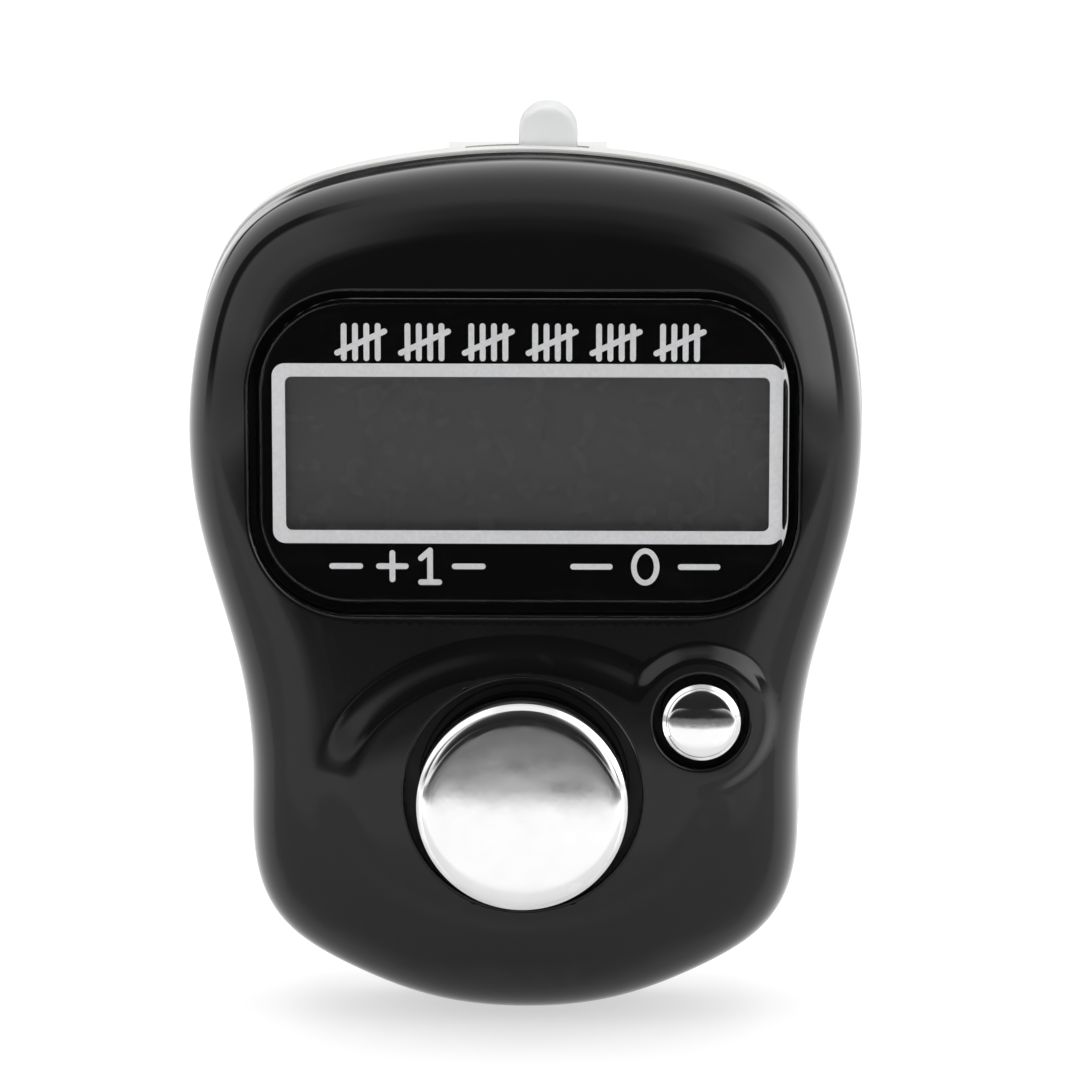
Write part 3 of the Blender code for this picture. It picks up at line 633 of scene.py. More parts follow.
def make_front_shell():
    skin = Skin()
    points, edges, rims = skin_points()
    faces = plan_triangles(points, edges)
    plan = np.array(points)
    x, z = plan[:, 0], plan[:, 1]
    outer = skin.row(raised(points, face_surface(x, z)))
    for index, normal in zip(outer, face_normals(x, z)):
        skin.normals[index] = Vector(normal)
    for rim in rims:
        for i in rim:
            del skin.normals[outer[i]]
    inner = skin.row(inner_plan(points))
    for a, b, c in faces:
        skin.faces.append((outer[a], outer[b], outer[c]))
        skin.faces.append((inner[c], inner[b], inner[a]))

    edge = FRONT_SEAM_EDGE
    rows = [outer[:RING_POINTS]]
    for share in (0.915, 0.93, 0.944, 0.957, 0.968, 0.977, 0.985, 0.991, 0.9955, 0.9985, 1.0):
        loop = outline_loop(SHOULDER_SCALE * share)
        lx, lz = np.array(loop).T
        depths = face_depth(np.full(len(loop), share)) - pad_lift(lx, lz)
        rows.append(skin.row(raised(loop, depths)))
    for scale, inset, y in (
        (0.9965, 0.0, -16.1), (0.999, 0.0, -15.2), (1.0, 0.0, -14.5),
        (1.0, 0.0, PARTING_Y - GAP - edge), (1.0, 0.3 * edge, PARTING_Y - GAP - 0.3 * edge),
        (1.0, edge, PARTING_Y - GAP), (1.0, WALL, PARTING_Y - GAP), (0.994, WALL, SHOULDER_Y),
        (0.985, WALL, -18.6),
    ):
        rows.append(skin.level(outline_loop(scale, inset), y))
    rows.append(inner[:RING_POINTS])
    skin.chain(rows)

    recess, count, reset = rims
    floor = rounded_loop(RECESS_SIZE, LENS_Z, -0.03)
    window = rounded_loop(WINDOW_SIZE, LENS_Z)
    seat = rounded_loop(RECESS_SIZE, LENS_Z, 0.8)
    rows = [[outer[i] for i in recess]]
    rows.append(skin.level(rounded_loop(RECESS_SIZE, LENS_Z, -0.01), RECESS_WALL_Y))
    for loop, y in (
        (floor, RECESS_FLOOR_Y), (window, RECESS_FLOOR_Y), (window, SEAT_BACK_Y),
        (seat, SEAT_BACK_Y),
    ):
        rows.append(skin.level(loop, y))
    rows.append([inner[i] for i in recess])
    skin.chain(rows)
    for rim, radius, centre in (
        (count, COUNT_HOLE_RADIUS, COUNT_XZ), (reset, RESET_HOLE_RADIUS, RESET_XZ),
    ):
        middle = skin.level(circle_loop(radius, centre, len(rim)), HOLE_WALL_Y)
        skin.chain([[outer[i] for i in rim], middle, [inner[i] for i in rim]])
    return skin.mesh("front_case", 40.0)


# ---- rear shell

def strap_axes(x=0.0):
    """Local Z runs up the tail from its tip, local Y to the rear."""
    return Matrix.Translation((x, *TAIL_TIP)) @ Matrix.Rotation(STRAP_TILT, 4, "X")


def flared_seat(name, spot, radius, floor_y, lip):
    """A cutter for a screw's seat, a little wider where it meets the back."""
    top = BACK_Y - floor_y
    profile = [
        (0.0, 0.0), (radius, 0.0), (radius, top - lip), (radius + lip, top),
        (radius + lip, top + 1.0), (0.0, top + 1.0),
    ]
    return turned_mesh(name, profile, spot, floor_y, TOWARDS_REAR, 48)


def straight_bore(name, spot, radius, front_y, back_y, steps=48):
    length = back_y - front_y
    profile = [(0.0, 0.0), (radius, 0.0), (radius, length), (0.0, length)]
    return turned_mesh(name, profile, spot, front_y, TOWARDS_REAR, steps)


def make_rear_shell():
    skin = Skin()
    rows = []
    edge = REAR_SEAM_EDGE
    for inset, y in (
        (WALL, PARTING_Y + GAP), (edge, PARTING_Y + GAP),
        (0.3 * edge, PARTING_Y + GAP + 0.3 * edge), (0.0, PARTING_Y + GAP + edge), (0.0, -12.4),
    ):
        rows.append(skin.level(outline_loop(REAR_OVERHANG, inset), y))
    for step in range(11):
        angle = radians(90 * step / 10)
        inset = REAR_EDGE_RADIUS * (1 - cos(angle)) + 0.03
        y = BACK_Y - REAR_EDGE_RADIUS * (1 - sin(angle))
        rows.append(skin.level(outline_loop(REAR_OVERHANG, inset), y))
    skin.faces.append(tuple(rows[-1]))
    inner = []
    for inset, y in ((WALL + 1.0, BACK_Y - WALL), (WALL, BACK_Y - WALL - 1.0)):
        inner.append(skin.level(outline_loop(REAR_OVERHANG, inset), y))
    skin.faces.append(tuple(reversed(inner[0])))
    skin.chain(rows)
    skin.chain(inner + [rows[0]])
    shell = skin.mesh("rear_shell_plain")

    start, end = KEEPER_LENGTHS
    half_x, half_y = KEEPER_HALF
    slot_x, slot_y = KEEPER_SLOT_HALF
    axes = strap_axes()
    low, high = DOOR_Z
    middle = (low + high) / 2
    door_size = (2 * DOOR_HALF_WIDTH, high - low, 1.25)
    recess_size = (door_size[0] + 0.1, door_size[1] + 0.1, 1.25)
    block, recess, flare = (
        rounded_loop(size, middle, grow, 8, (2, 2))
        for size, grow in ((door_size, 0.9), (recess_size, 0.0), (recess_size, 0.14))
    )
    floor_y = BACK_Y - DOOR_THICKNESS - GAP
    additions = [
        prism_mesh("door_block", [(block, -12.0), (block, BACK_Y - 0.3)]),
        straight_bore("cell_wall", CELL_XZ, 7.1, -15.95, -11.5, 96),
        straight_bore("door_boss", DOOR_SCREW_XZ, 1.7, -13.6, -11.0),
        box_mesh("keeper", (-half_x, -half_y, -end), (half_x, half_y, -start), axes),
    ]
    additions += [
        straight_bore("boss", spot, 2.2, PARTING_Y + GAP, BACK_Y - 0.4) for spot in CASE_SCREWS
    ]
    cell_x, cell_z = CELL_XZ
    removals = [
        prism_mesh("door_recess", [
            (recess, floor_y), (recess, BACK_Y - 0.14), (flare, BACK_Y), (flare, BACK_Y + 1.0),
        ]),
        straight_bore("cell_bore", CELL_XZ, BORE_RADIUS, -17.0, -9.0, 96),
        box_mesh("hook_slot", (-2.6, -12.6, high - 1.8), (2.6, floor_y, high + 1.35)),
        post_mesh("notch", (cell_x + 6.55, cell_z), (1.05, 1.8), -17.0, -12.6),
        straight_bore("door_pilot", DOOR_SCREW_XZ, 0.85, -13.0, -10.0),
        post_mesh("band_slot", (0.0, BAND_SLOT_Z), (BAND_HALF_WIDTH + 0.15, 0.75), -13.0, -9.0),
        box_mesh("keeper_slot", (-slot_x, -slot_y, -end - 3.0), (slot_x, slot_y, -start + 3.0), axes),
    ]
    for spot in CASE_SCREWS:
        removals.append(flared_seat("seat", spot, 1.7, CASE_SCREW_SEAT_Y, 0.12))
        removals.append(straight_bore("hole", spot, 0.85, -15.0, -9.0))
    return carved("rear_case", shell, additions, removals, 30.0)


# ---- door and screws

def make_door():
    low, high = DOOR_Z
    middle = (low + high) / 2
    size = (2 * DOOR_HALF_WIDTH, high - low, DOOR_CORNER)
    inner_y = BACK_Y - DOOR_THICKNESS

    def loop(grow):
        return rounded_loop(size, middle, grow, 10, (2, 2))

    edge = 0.14
    plate = prism_mesh("door_plate", [
        (loop(-edge), inner_y), (loop(0.0), inner_y + edge), (loop(0.0), BACK_Y - edge),
        (loop(-0.3 * edge), BACK_Y - 0.3 * edge), (loop(-edge), BACK_Y),
    ], 25.0)
    hook = [
        post_mesh("hook", (0.0, high - 0.25), (2.4, 1.35), inner_y - 0.75, inner_y - 0.15),
        post_mesh("neck", (0.0, high - 0.95), (2.4, 0.65), inner_y - 0.3, inner_y + 0.3),
    ]
    removals = [
        flared_seat("seat", DOOR_SCREW_XZ, 1.3, DOOR_SCREW_SEAT_Y, 0.1),
        straight_bore("hole", DOOR_SCREW_XZ, 0.7, -13.0, -9.0),
    ]
    cell_x, cell_z = CELL_XZ
    for z in GRIP_GROOVES_Z:
        removals.append(post_mesh("groove", (0.0, z), (3.2, 0.14), BACK_Y - 0.16, BACK_Y + 1.0))
    for half in (PLUS_ARMS, PLUS_ARMS[::-1]):
        removals.append(post_mesh("plus", (cell_x, cell_z - 0.5), half, BACK_Y - 0.12, BACK_Y + 1.0))
    return carved("cell_door", plate, hook, removals, 30.0)


def make_screw(name, spot, seat_y, sizes, body, replaced):
    """A pan-head screw with a cross recess and turned threads."""
    head_radius, head_height, shank_radius, shank_length = sizes
    dome = []
    for step in range(7):
        share = step / 6
        dome.append((
            head_radius * sin(share * pi / 2) if step else 0.0,
            head_height * (0.55 + 0.45 * cos(share * pi / 2)),
        ))
    dome[1:1] = [(0.12 * head_radius, head_height)]
    profile = dome + [(head_radius, 0.06), (head_radius - 0.06, 0.0), (shank_radius, 0.0)]
    depth = -0.2
    while depth > -shank_length + 0.5:
        profile += [(shank_radius, depth), (shank_radius - THREAD_DEPTH, depth - THREAD_PITCH / 2)]
        depth -= THREAD_PITCH
    profile += [
        (shank_radius, -shank_length + 0.3), (0.4 * shank_radius, -shank_length),
        (0.0, -shank_length),
    ]
    blank = turned_mesh(name + "_blank", profile, spot, seat_y + 0.02, TOWARDS_REAR, 40)
    top_y = seat_y + head_height
    arm = 0.62 * head_radius
    half = 0.13 * head_radius
    depth = 0.55 * head_height
    slots = [
        post_mesh("slot", spot, size, top_y - depth, top_y + 0.5)
        for size in ((arm, half), (half, arm))
    ]
    mesh = carved(name, blank, (), slots, 28.0)
    add_piece(name, mesh, STEEL, body, (replaced,))


# ---- buttons and domes

def cap_mesh(name, spot, radius, top_y, flange, crown, chamfer):
    """A chrome cap: a nearly flat top that rolls off at its rim, and a bright chamfer."""
    _, flange_front_y, flange_back_y = flange
    base_y = flange_back_y + FLANGE_NUB
    height = base_y - top_y
    face_radius = radius - chamfer
    roll = 0.05 * radius**0.5
    profile = [(0.0, height)]
    for step in range(1, CAP_RINGS + 1):
        share = (step / CAP_RINGS) ** 0.6
        sink = crown * share**2 + roll * share**CAP_ROLL_POWER
        profile.append((face_radius * share, height - sink))
    low = height - crown - roll
    profile += [
        (face_radius + 0.06 * chamfer, low - 0.03),
        (radius - 0.12 * chamfer, low - 0.84 * chamfer),
        (radius - 0.02, low - chamfer),
        (radius, low - 1.15 * chamfer),
        (radius, base_y - flange_front_y + 0.3), (0.0, base_y - flange_front_y + 0.3),
    ]
    return turned_mesh(name, profile, spot, base_y, TOWARDS_FRONT, 128, 24.0)


def carrier_mesh(name, spot, radius, flange):
    """The moulding that holds the cap: a collar, a flange and a nub below; its dark colour is painted
    shade in the gap round the cap.
    """
    flange_radius, flange_front_y, flange_back_y = flange
    base_y = flange_back_y + FLANGE_NUB
    top = base_y - flange_front_y
    nub_radius = 0.35 * radius
    profile = [
        (0.0, top + 0.29), (radius - 0.05, top + 0.29), (radius - 0.05, top + 0.08),
        (radius + 0.05, top), (flange_radius - 0.1, top), (flange_radius, top - 0.1),
        (flange_radius, FLANGE_NUB), (nub_radius, FLANGE_NUB), (nub_radius, 0.0), (0.0, 0.0),
    ]
    return turned_mesh(name, profile, spot, base_y, TOWARDS_FRONT, 96, 24.0)


def make_dome(name, spot, top_y, top_radius, foot_radius):
    height = DOME_FOOT_Y - top_y
    rim = 0.5
    web = 0.45
    shoulder = 0.7
    profile = [(0.0, height)] + arc_corner(top_radius, height, 0.2) + [
        (top_radius, height - shoulder - 0.2), (top_radius + 0.12, height - shoulder - 0.4),
        (foot_radius - 0.85, rim + 0.15), (foot_radius - 0.6, rim), (foot_radius - 0.1, rim),
        (foot_radius, rim - 0.1), (foot_radius, 0.0), (foot_radius - 0.7 - web, 0.0),
        (top_radius - web, height - shoulder - 0.35), (top_radius - web, height - shoulder),
        (0.0, height - shoulder),
    ]
    return turned_mesh(name, profile, spot, DOME_FOOT_Y, TOWARDS_FRONT, 48)


# ---- display

def make_lens():
    """A clear plate with a narrow rounded edge on its front."""
    rings = [
        (rounded_loop(LENS_SIZE, LENS_Z, -0.06), LENS_BACK_Y),
        (rounded_loop(LENS_SIZE, LENS_Z, 0.0), LENS_BACK_Y - 0.06),
    ]
    edge = 0.22
    for degrees in (0, 22, 45, 68, 90):
        angle = radians(degrees)
        rings.append((
            rounded_loop(LENS_SIZE, LENS_Z, -edge * (1 - cos(angle))),
            LENS_FRONT_Y + edge * (1 - sin(angle)),
        ))
    rings.append((rounded_loop(LENS_SIZE, LENS_Z, -edge - 0.05), LENS_FRONT_Y))
    return prism_mesh("lens", rings, 40.0)


def ring_plate(name, outer, inner, front_y, back_y):
    """A flat plate with a hole: two loops of equal counts."""
    skin = Skin()
    rows = [
        skin.level(loop, y)
        for loop, y in ((outer, front_y), (outer, back_y), (inner, back_y), (inner, front_y))
    ]
    skin.chain(rows + rows[:1])
    return skin.mesh(name, 30.0)


def stroke_mesh(start, end, width, front_y, back_y):
    """One inked stroke with round ends."""
    a, b = np.array(start), np.array(end)
    heading = atan2(b[1] - a[1], b[0] - a[0])
    loop = []
    for centre, turn in ((b, -90), (a, 90)):
        for degrees in range(0, 181, 20):
            angle = heading + radians(turn + degrees)
            loop.append((
                centre[0] + width / 2 * cos(angle), centre[1] + width / 2 * sin(angle),
            ))
    return prism_mesh("stroke", [(loop, front_y), (loop, back_y)], 30.0)


PRINT_FRONT_Y = -20.892
PRINT_BACK_Y = -20.886
MASK_FRONT_Y = -20.882
MASK_BACK_Y = -20.874
PRINT_DROP = -0.1


def tally_strokes(left, right, low, high, groups):
    """Groups of four uprights and a slash across them."""
    strokes = []
    pitch = (right - left) / (groups - 0.26)
    span = pitch * 0.74
    for group in range(groups):
        start = left + group * pitch
        for i in range(4):
            x = start + span * (0.14 + 0.24 * i)
            strokes.append(((x, low), (x, high)))
        strokes.append(((start, low + 0.25), (start + span, high - 0.25)))
    return strokes


def make_marks():
    """Generic marks in the places of the printed ones: tally strokes, +1 and 0."""
    shift = LENS_Z + PRINT_DROP - 6.94
    width = 0.27
    meshes = []
    strokes = tally_strokes(-8.6, 8.3, 11.4, 12.9, 6)
    plus_x, mark_z, one_x = -6.1, 1.65, -4.35
    strokes += [
        ((plus_x - 0.62, mark_z), (plus_x + 0.62, mark_z)),
        ((plus_x, mark_z - 0.62), (plus_x, mark_z + 0.62)),
        ((one_x, mark_z - 0.75), (one_x, mark_z + 0.75)),
        ((one_x, mark_z + 0.75), (one_x - 0.42, mark_z + 0.38)),
        ((one_x - 0.42, mark_z - 0.75), (one_x + 0.42, mark_z - 0.75)),
    ]
    for left, right in ((-8.9, -7.6), (-3.2, -1.9), (2.3, 4.0), (7.3, 9.0)):
        strokes.append(((left, mark_z), (right, mark_z)))
    for start, end in strokes:
        level = 0.0 if start[0] == end[0] else 0.0012
        meshes.append(stroke_mesh(
            (start[0], start[1] + shift), (end[0], end[1] + shift), width,
            PRINT_FRONT_Y + level, PRINT_BACK_Y + level,
        ))
    zero_x = 5.65
    outer, inner = (
        [(zero_x + half_x * x, mark_z + shift + half_z * z) for x, z in circle_loop(1.0, (0.0, 0.0), 48)]
        for half_x, half_z in ((0.66, 0.88), (0.40, 0.62))
    )
    meshes.append(ring_plate("zero", outer, inner, PRINT_FRONT_Y, PRINT_BACK_Y))
    return joined("printed_marks", meshes, 30.0)


# ---- strap

def strap_section(centre, normal, half_width, half_thickness, count=24):
    """A flat section with full round edges: width along X."""
    x, y, z = centre
    ring = []
    for i in range(count):
        angle = 2 * pi * i / count
        c, s = cos(angle), sin(angle)
        across = half_width * copysign(abs(c) ** 0.28, c)
        up = half_thickness * copysign(abs(s) ** 0.55, s)
        ring.append((x + across, y + up * normal[0], z + up * normal[1]))
    return ring


def make_band():
    path = smooth_path(BAND_ROUTE, 10, closed=False)
    steps = np.linalg.norm(np.diff(path, axis=0), axis=1)
    travelled = np.concatenate([[0.0], np.cumsum(steps)])
    tangents = np.gradient(path, axis=0)
    rings = []
    for (y, z), (dy, dz), distance in zip(path, tangents, travelled):
        length = hypot(dy, dz)
        normal = (-dz / length, dy / length)
        neck = ease(distance, travelled[-1] - 9.0, travelled[-1] - 3.5)
        head = 1 - ease(distance, 0.75, 1.0)
        half_width = BAND_HALF_WIDTH + head * (BAND_HEAD_HALF_WIDTH - BAND_HALF_WIDTH)
        half_width += neck * (TAIL_HALF_WIDTH - BAND_HALF_WIDTH)
        half_thickness = BAND_HALF_THICKNESS + neck * (TAIL_HALF_THICKNESS - BAND_HALF_THICKNESS)
        rings.append(strap_section((neck * TAIL_X, y, z), normal, half_width, half_thickness))
    return rings_mesh("band", rings, 50.0)


def make_tail():
    rings = []
    stations = [(-TAIL_LENGTH, 1.0, 1.0), (-TAIL_LENGTH + 4.0, 1.0, 1.0)]
    for degrees in (0, 12, 24, 36, 47, 57, 66, 74, 80, 85, 88.5):
        angle = radians(degrees)
        thin = min(1.0, 0.35 + cos(angle) ** 0.6)
        stations.append((TAIL_HALF_WIDTH * (sin(angle) - 1), cos(angle), thin))
    place = strap_axes(TAIL_X)
    for along, share, thin in stations:
        section = strap_section(
            (0.0, 0.0, along), (1.0, 0.0), TAIL_HALF_WIDTH * share, TAIL_HALF_THICKNESS * thin,
        )
        rings.append([place @ Vector(point) for point in section])
    return rings_mesh("tail", rings, 50.0)


# ---- materials

class Material:
    """A node material, with short ways to add the nodes that repeat."""

    def __init__(self, name):
        self.material = bpy.data.materials.new(name)
        self.material.use_nodes = True
        self.nodes = self.material.node_tree.nodes
        self.links = self.material.node_tree.links
        self.place = self.add("TexCoord", {}, "Object")

    def add(self, kind, inputs, output, **settings):
        """One output of a new node, whose inputs are linked to sockets or set to values."""
        node = self.nodes.new("ShaderNode" + kind)
        for name, value in settings.items():
            setattr(node, name, value)
        for key, value in inputs.items():
            if isinstance(value, bpy.types.NodeSocket):
                self.links.new(value, node.inputs[key])
            else:
                node.inputs[key].default_value = value
        return node.outputs[output]

    def noise(self, size, detail=2.0, stretch=(1.0, 1.0, 1.0)):
        """Noise whose features are about size millimetres across."""
        vector = self.add("Mapping", {"Vector": self.place, "Scale": stretch}, "Vector")
        inputs = {"Vector": vector, "Scale": 1 / (size * MM), "Detail": detail}
        return self.add("TexNoise", inputs, "Fac")

    def spread(self, value, low, high, start=0.3, stop=0.7):
        return self.add("MapRange", {
            "Value": value, "From Min": start, "From Max": stop, "To Min": low, "To Max": high,
        }, "Result")


class Finish(Material):
    """A surface with colour patches, roughness patches and a fine relief."""

    def __init__(self, name, dark, light, patch=3.0):
        super().__init__(name)
        self.shader = self.nodes["Principled BSDF"]
        self.colour = self.blend(self.noise(patch, 4.0), dark, light)

    def blend(self, factor, first, second):
        first, second = ((*c, 1.0) if isinstance(c, tuple) else c for c in (first, second))
        return self.add("Mix", {0: factor, 6: first, 7: second}, 2, data_type="RGBA")

    def bands(self, scale, distortion=0.0):
        inputs = {"Vector": self.place, "Scale": scale, "Distortion": distortion}
        return self.add("TexWave", inputs, "Fac")

    def edge_wear(self, wear_and_shade_colour, start, stop, strength):
        """Mixes towards a worn colour on outward edges."""
        edges = self.add("NewGeometry", {}, "Pointiness")
        amount = self.spread(edges, 0.0, strength, start, stop)
        self.colour = self.blend(amount, self.colour, wear_and_shade_colour)

    def rubbed_and_shaded_edges(self, wear_and_shade_colour, radius, strength):
        """Like edge_wear, but even on large flat faces: radius in millimetres. On the white plastic the
        lighter edge colour is rubbed wear; on the silicone strap the darker one is painted shade.
        """
        rounded = self.add("Bevel", {"Radius": radius * MM}, "Normal", samples=4)
        surface = self.add("NewGeometry", {}, "Normal")
        facing = self.add("VectorMath", {0: rounded, 1: surface}, "Value", operation="DOT_PRODUCT")
        amount = self.spread(facing, strength, 0.0, 0.8, 0.99)
        self.colour = self.blend(amount, self.colour, wear_and_shade_colour)

    def relief(self, layers):
        """Bump from (height field, depth in millimetres) layers."""
        below = {}
        for height, depth in layers:
            inputs = {"Height": height, "Strength": 1.0, "Distance": depth * MM}
            below["Normal"] = self.add("Bump", {**inputs, **below}, "Normal")
        self.links.new(below["Normal"], self.shader.inputs["Normal"])

    def done(self, roughness, **sockets):
        self.links.new(self.colour, self.shader.inputs["Base Color"])
        rough = self.spread(self.noise(1.1, 5.0), *roughness)
        self.links.new(rough, self.shader.inputs["Roughness"])
        for name, value in sockets.items():
            self.shader.inputs[name.replace("_", " ")].default_value = value
        return self.material


def finished(name, dark, light, patch, layers, roughness, wear=(), rub_and_edge_shade=(), **sockets):
    """A finish with worn edges, edges darkened as painted shade where the edge colour is dark, and a
    relief of (size, detail, depth) noise layers.
    """
    finish = Finish(name, dark, light, patch)
    if wear:
        finish.edge_wear(*wear)
    if rub_and_edge_shade:
        finish.rubbed_and_shaded_edges(*rub_and_edge_shade)
    finish.relief([
        (finish.noise(size, detail, *stretch), depth) for size, detail, depth, *stretch in layers
    ])
    return finish.done(roughness, **sockets)


def display_glass():
    """The polariser over the display, with painted shade that darkens it towards its lower edge."""
    finish = Finish("display_polariser", (0.026, 0.0265, 0.027), (0.032, 0.0325, 0.033), 6.0)
    height = finish.add("SeparateXYZ", {"Vector": finish.place}, "Z")
    low, high = ((LENS_Z + offset) * MM for offset in (-3.9, -0.5))
    # painted shade: below the middle the colour darkens towards near black at the lower edge
    painted_shade_fade = finish.spread(height, 0.0, 1.0, low, high)
    finish.colour = finish.blend(painted_shade_fade, (0.007, 0.007, 0.0072), finish.colour)
    finish.relief([(finish.noise(2.5, 1.0), 0.0003)])
    return finish.done((0.22, 0.3), IOR=1.3)


def circuit_board():
    """Solder mask with faint copper tracks under it."""
    finish = Finish("solder_mask", (0.012, 0.1, 0.035), (0.02, 0.15, 0.055), 2.0)
    tracks = finish.spread(finish.bands(420.0, 2.0), 0.0, 1.0, 0.62, 0.68)
    finish.colour = finish.blend(tracks, finish.colour, (0.03, 0.22, 0.08))
    finish.relief([(tracks, 0.02), (finish.noise(0.2), 0.003)])
    return finish.done((0.25, 0.4))


def zebra_rubber():
    """Thin dark conducting layers between pink insulating ones."""
    finish = Finish("layered_rubber", (0.5, 0.3, 0.34), (0.6, 0.4, 0.44), 1.0)
    layers = finish.spread(finish.bands(1600.0), 0.0, 1.0, 0.45, 0.55)
    finish.colour = finish.blend(layers, finish.colour, (0.02, 0.02, 0.02))
    finish.relief([(finish.noise(0.1), 0.004)])
    return finish.done((0.5, 0.7))


GLOSS_BLACK = finished(
    "gloss_black_plastic", (0.0025, 0.0025, 0.0028), (0.005, 0.005, 0.0054), 4.0,
    [(2.4, 1.0, 0.0009), (0.12, 2.0, 0.00012)], (0.035, 0.085),
    wear=((0.012, 0.012, 0.0125), 0.56, 0.66, 0.5), IOR=1.4)
WHITE_PLASTIC = finished(
    "white_moulded_plastic", (0.6, 0.6, 0.585), (0.67, 0.67, 0.655), 5.0,
    [(0.16, 3.0, 0.006), (3.0, 1.0, 0.002)], (0.3, 0.48),
    rub_and_edge_shade=((0.74, 0.74, 0.72), 0.12, 0.7), IOR=1.47)
CHROME = finished(
    "chrome_plate", (0.8, 0.8, 0.81), (0.88, 0.88, 0.885), 1.6,
    [(0.9, 2.0, 0.0011), (0.08, 2.0, 0.00006)], (0.03, 0.1),
    wear=((0.93, 0.93, 0.93), 0.52, 0.6, 0.6), Metallic=1.0)
CLEAR_LENS = finished(
    "clear_acrylic", (0.93, 0.93, 0.94), (0.97, 0.97, 0.975), 5.0,
    [(3.0, 1.0, 0.0003)], (0.0, 0.003), IOR=1.38, Transmission_Weight=1.0)
BLACK_INK = finished(
    "black_ink", (0.0012, 0.0012, 0.0012), (0.0025, 0.0025, 0.0025), 0.8,
    [(0.06, 2.0, 0.0006)], (0.3, 0.5), IOR=1.2, Specular_IOR_Level=0.1)
SILVER_INK = finished(
    "silver_ink", (0.74, 0.74, 0.745), (0.97, 0.97, 0.975), 0.16,
    [(0.05, 3.0, 0.004)], (0.3, 0.5), Metallic=0.15)
DISPLAY_GLASS = display_glass()
# painted shade: the darker edge colour greys the strap's edges against the pale floor
SILICONE = finished(
    "clear_silicone", (0.9, 0.905, 0.91), (0.95, 0.955, 0.96), 2.5,
    [(2.0, 1.0, 0.003)], (0.3, 0.42),
    rub_and_edge_shade=((0.78, 0.78, 0.79), 0.12, 0.5), IOR=1.41, Transmission_Weight=0.5)
STEEL = finished(
    "nickel_steel", (0.5, 0.5, 0.51), (0.68, 0.68, 0.69), 0.7,
    [(0.1, 3.0, 0.0012, (1.0, 0.2, 1.0))], (0.16, 0.38),
    wear=((0.8, 0.8, 0.8), 0.54, 0.62, 0.8), Metallic=1.0)
DOME_RUBBER = finished(
    "dome_rubber", (0.5, 0.5, 0.48), (0.62, 0.62, 0.6), 2.0, [(0.15, 3.0, 0.006)], (0.5, 0.7))
CARBON = finished(
    "carbon_rubber", (0.01, 0.01, 0.01), (0.025, 0.025, 0.025), 0.8,
    [(0.08, 3.0, 0.005)], (0.6, 0.8))
EPOXY = finished(
    "potting_epoxy", (0.006, 0.006, 0.006), (0.016, 0.016, 0.016), 1.5,
    [(0.7, 3.0, 0.02)], (0.2, 0.4))
TAPE = finished(
    "double_sided_tape", (0.6, 0.58, 0.5), (0.74, 0.72, 0.64), 1.2,
    [(0.2, 3.0, 0.006)], (0.5, 0.7))
# Matte black for the display frame; on the button carriers the same dark colour is painted shade in the
# gap round each cap.
DARK_PLASTIC_AND_GAP_SHADE = finished(
    "matte_black_plastic_and_gap_shade", (0.02, 0.02, 0.02), (0.04, 0.04, 0.04), 2.0,
    [(0.15, 3.0, 0.006)], (0.42, 0.6))
REFLECTOR = finished(
    "reflector_film", (0.26, 0.27, 0.26), (0.36, 0.37, 0.36), 1.5,
    [(0.1, 3.0, 0.002)], (0.3, 0.45), Metallic=0.3)
CONTACT_METAL = finished(
    "plated_spring_metal", (0.62, 0.57, 0.47), (0.8, 0.75, 0.64), 1.0,
    [(0.12, 3.0, 0.002)], (0.2, 0.35), Metallic=1.0)
BOARD = circuit_board()
ZEBRA = zebra_rubber()


# ---- pieces

def dress_cad_nodes():
    finishes = {
        "lens_adhesive": TAPE, "lcd_front_glass": DISPLAY_GLASS, "lcd_rear_glass": DISPLAY_GLASS,
        "lcd_reflector": REFLECTOR, "lcd_frame": DARK_PLASTIC_AND_GAP_SHADE, "zebra_strip": ZEBRA,
        "circuit_board": BOARD, "chip_glob_top": EPOXY, "count_contact_pill": CARBON,
        "reset_contact_pill": CARBON, "battery_cell": STEEL,
        "battery_negative_contact": CONTACT_METAL, "battery_positive_contact": CONTACT_METAL,
    }
    for node, material in finishes.items():
        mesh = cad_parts[node].data
        mesh.materials.clear()
        mesh.materials.append(material)


def build_case():
    add_piece("front_case", make_front_shell(), GLOSS_BLACK, "case", ("front_shell",))
    add_piece("rear_case", make_rear_shell(), WHITE_PLASTIC, "case", ("rear_shell",))
    add_piece("cell_door", make_door(), WHITE_PLASTIC, "door", ("battery_door",))
    for index, spot in enumerate(CASE_SCREWS, start=1):
        make_screw(
            f"closing_screw_{index}", spot, CASE_SCREW_SEAT_Y, CASE_SCREW, "case",
            f"case_screw_{index}",
        )
    board_back_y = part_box("circuit_board")[1].y / MM
    for side in ("left", "right", "top"):
        low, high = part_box(f"board_screw_{side}")
        spot = ((low.x + high.x) / 2 / MM, (low.z + high.z) / 2 / MM)
        make_screw(
            f"inner_screw_{side}", spot, board_back_y, BOARD_SCREW, "case",
            f"board_screw_{side}",
        )
    make_screw(
        "door_screw", DOOR_SCREW_XZ, DOOR_SCREW_SEAT_Y, DOOR_SCREW, "door",
        "battery_door_screw",
    )


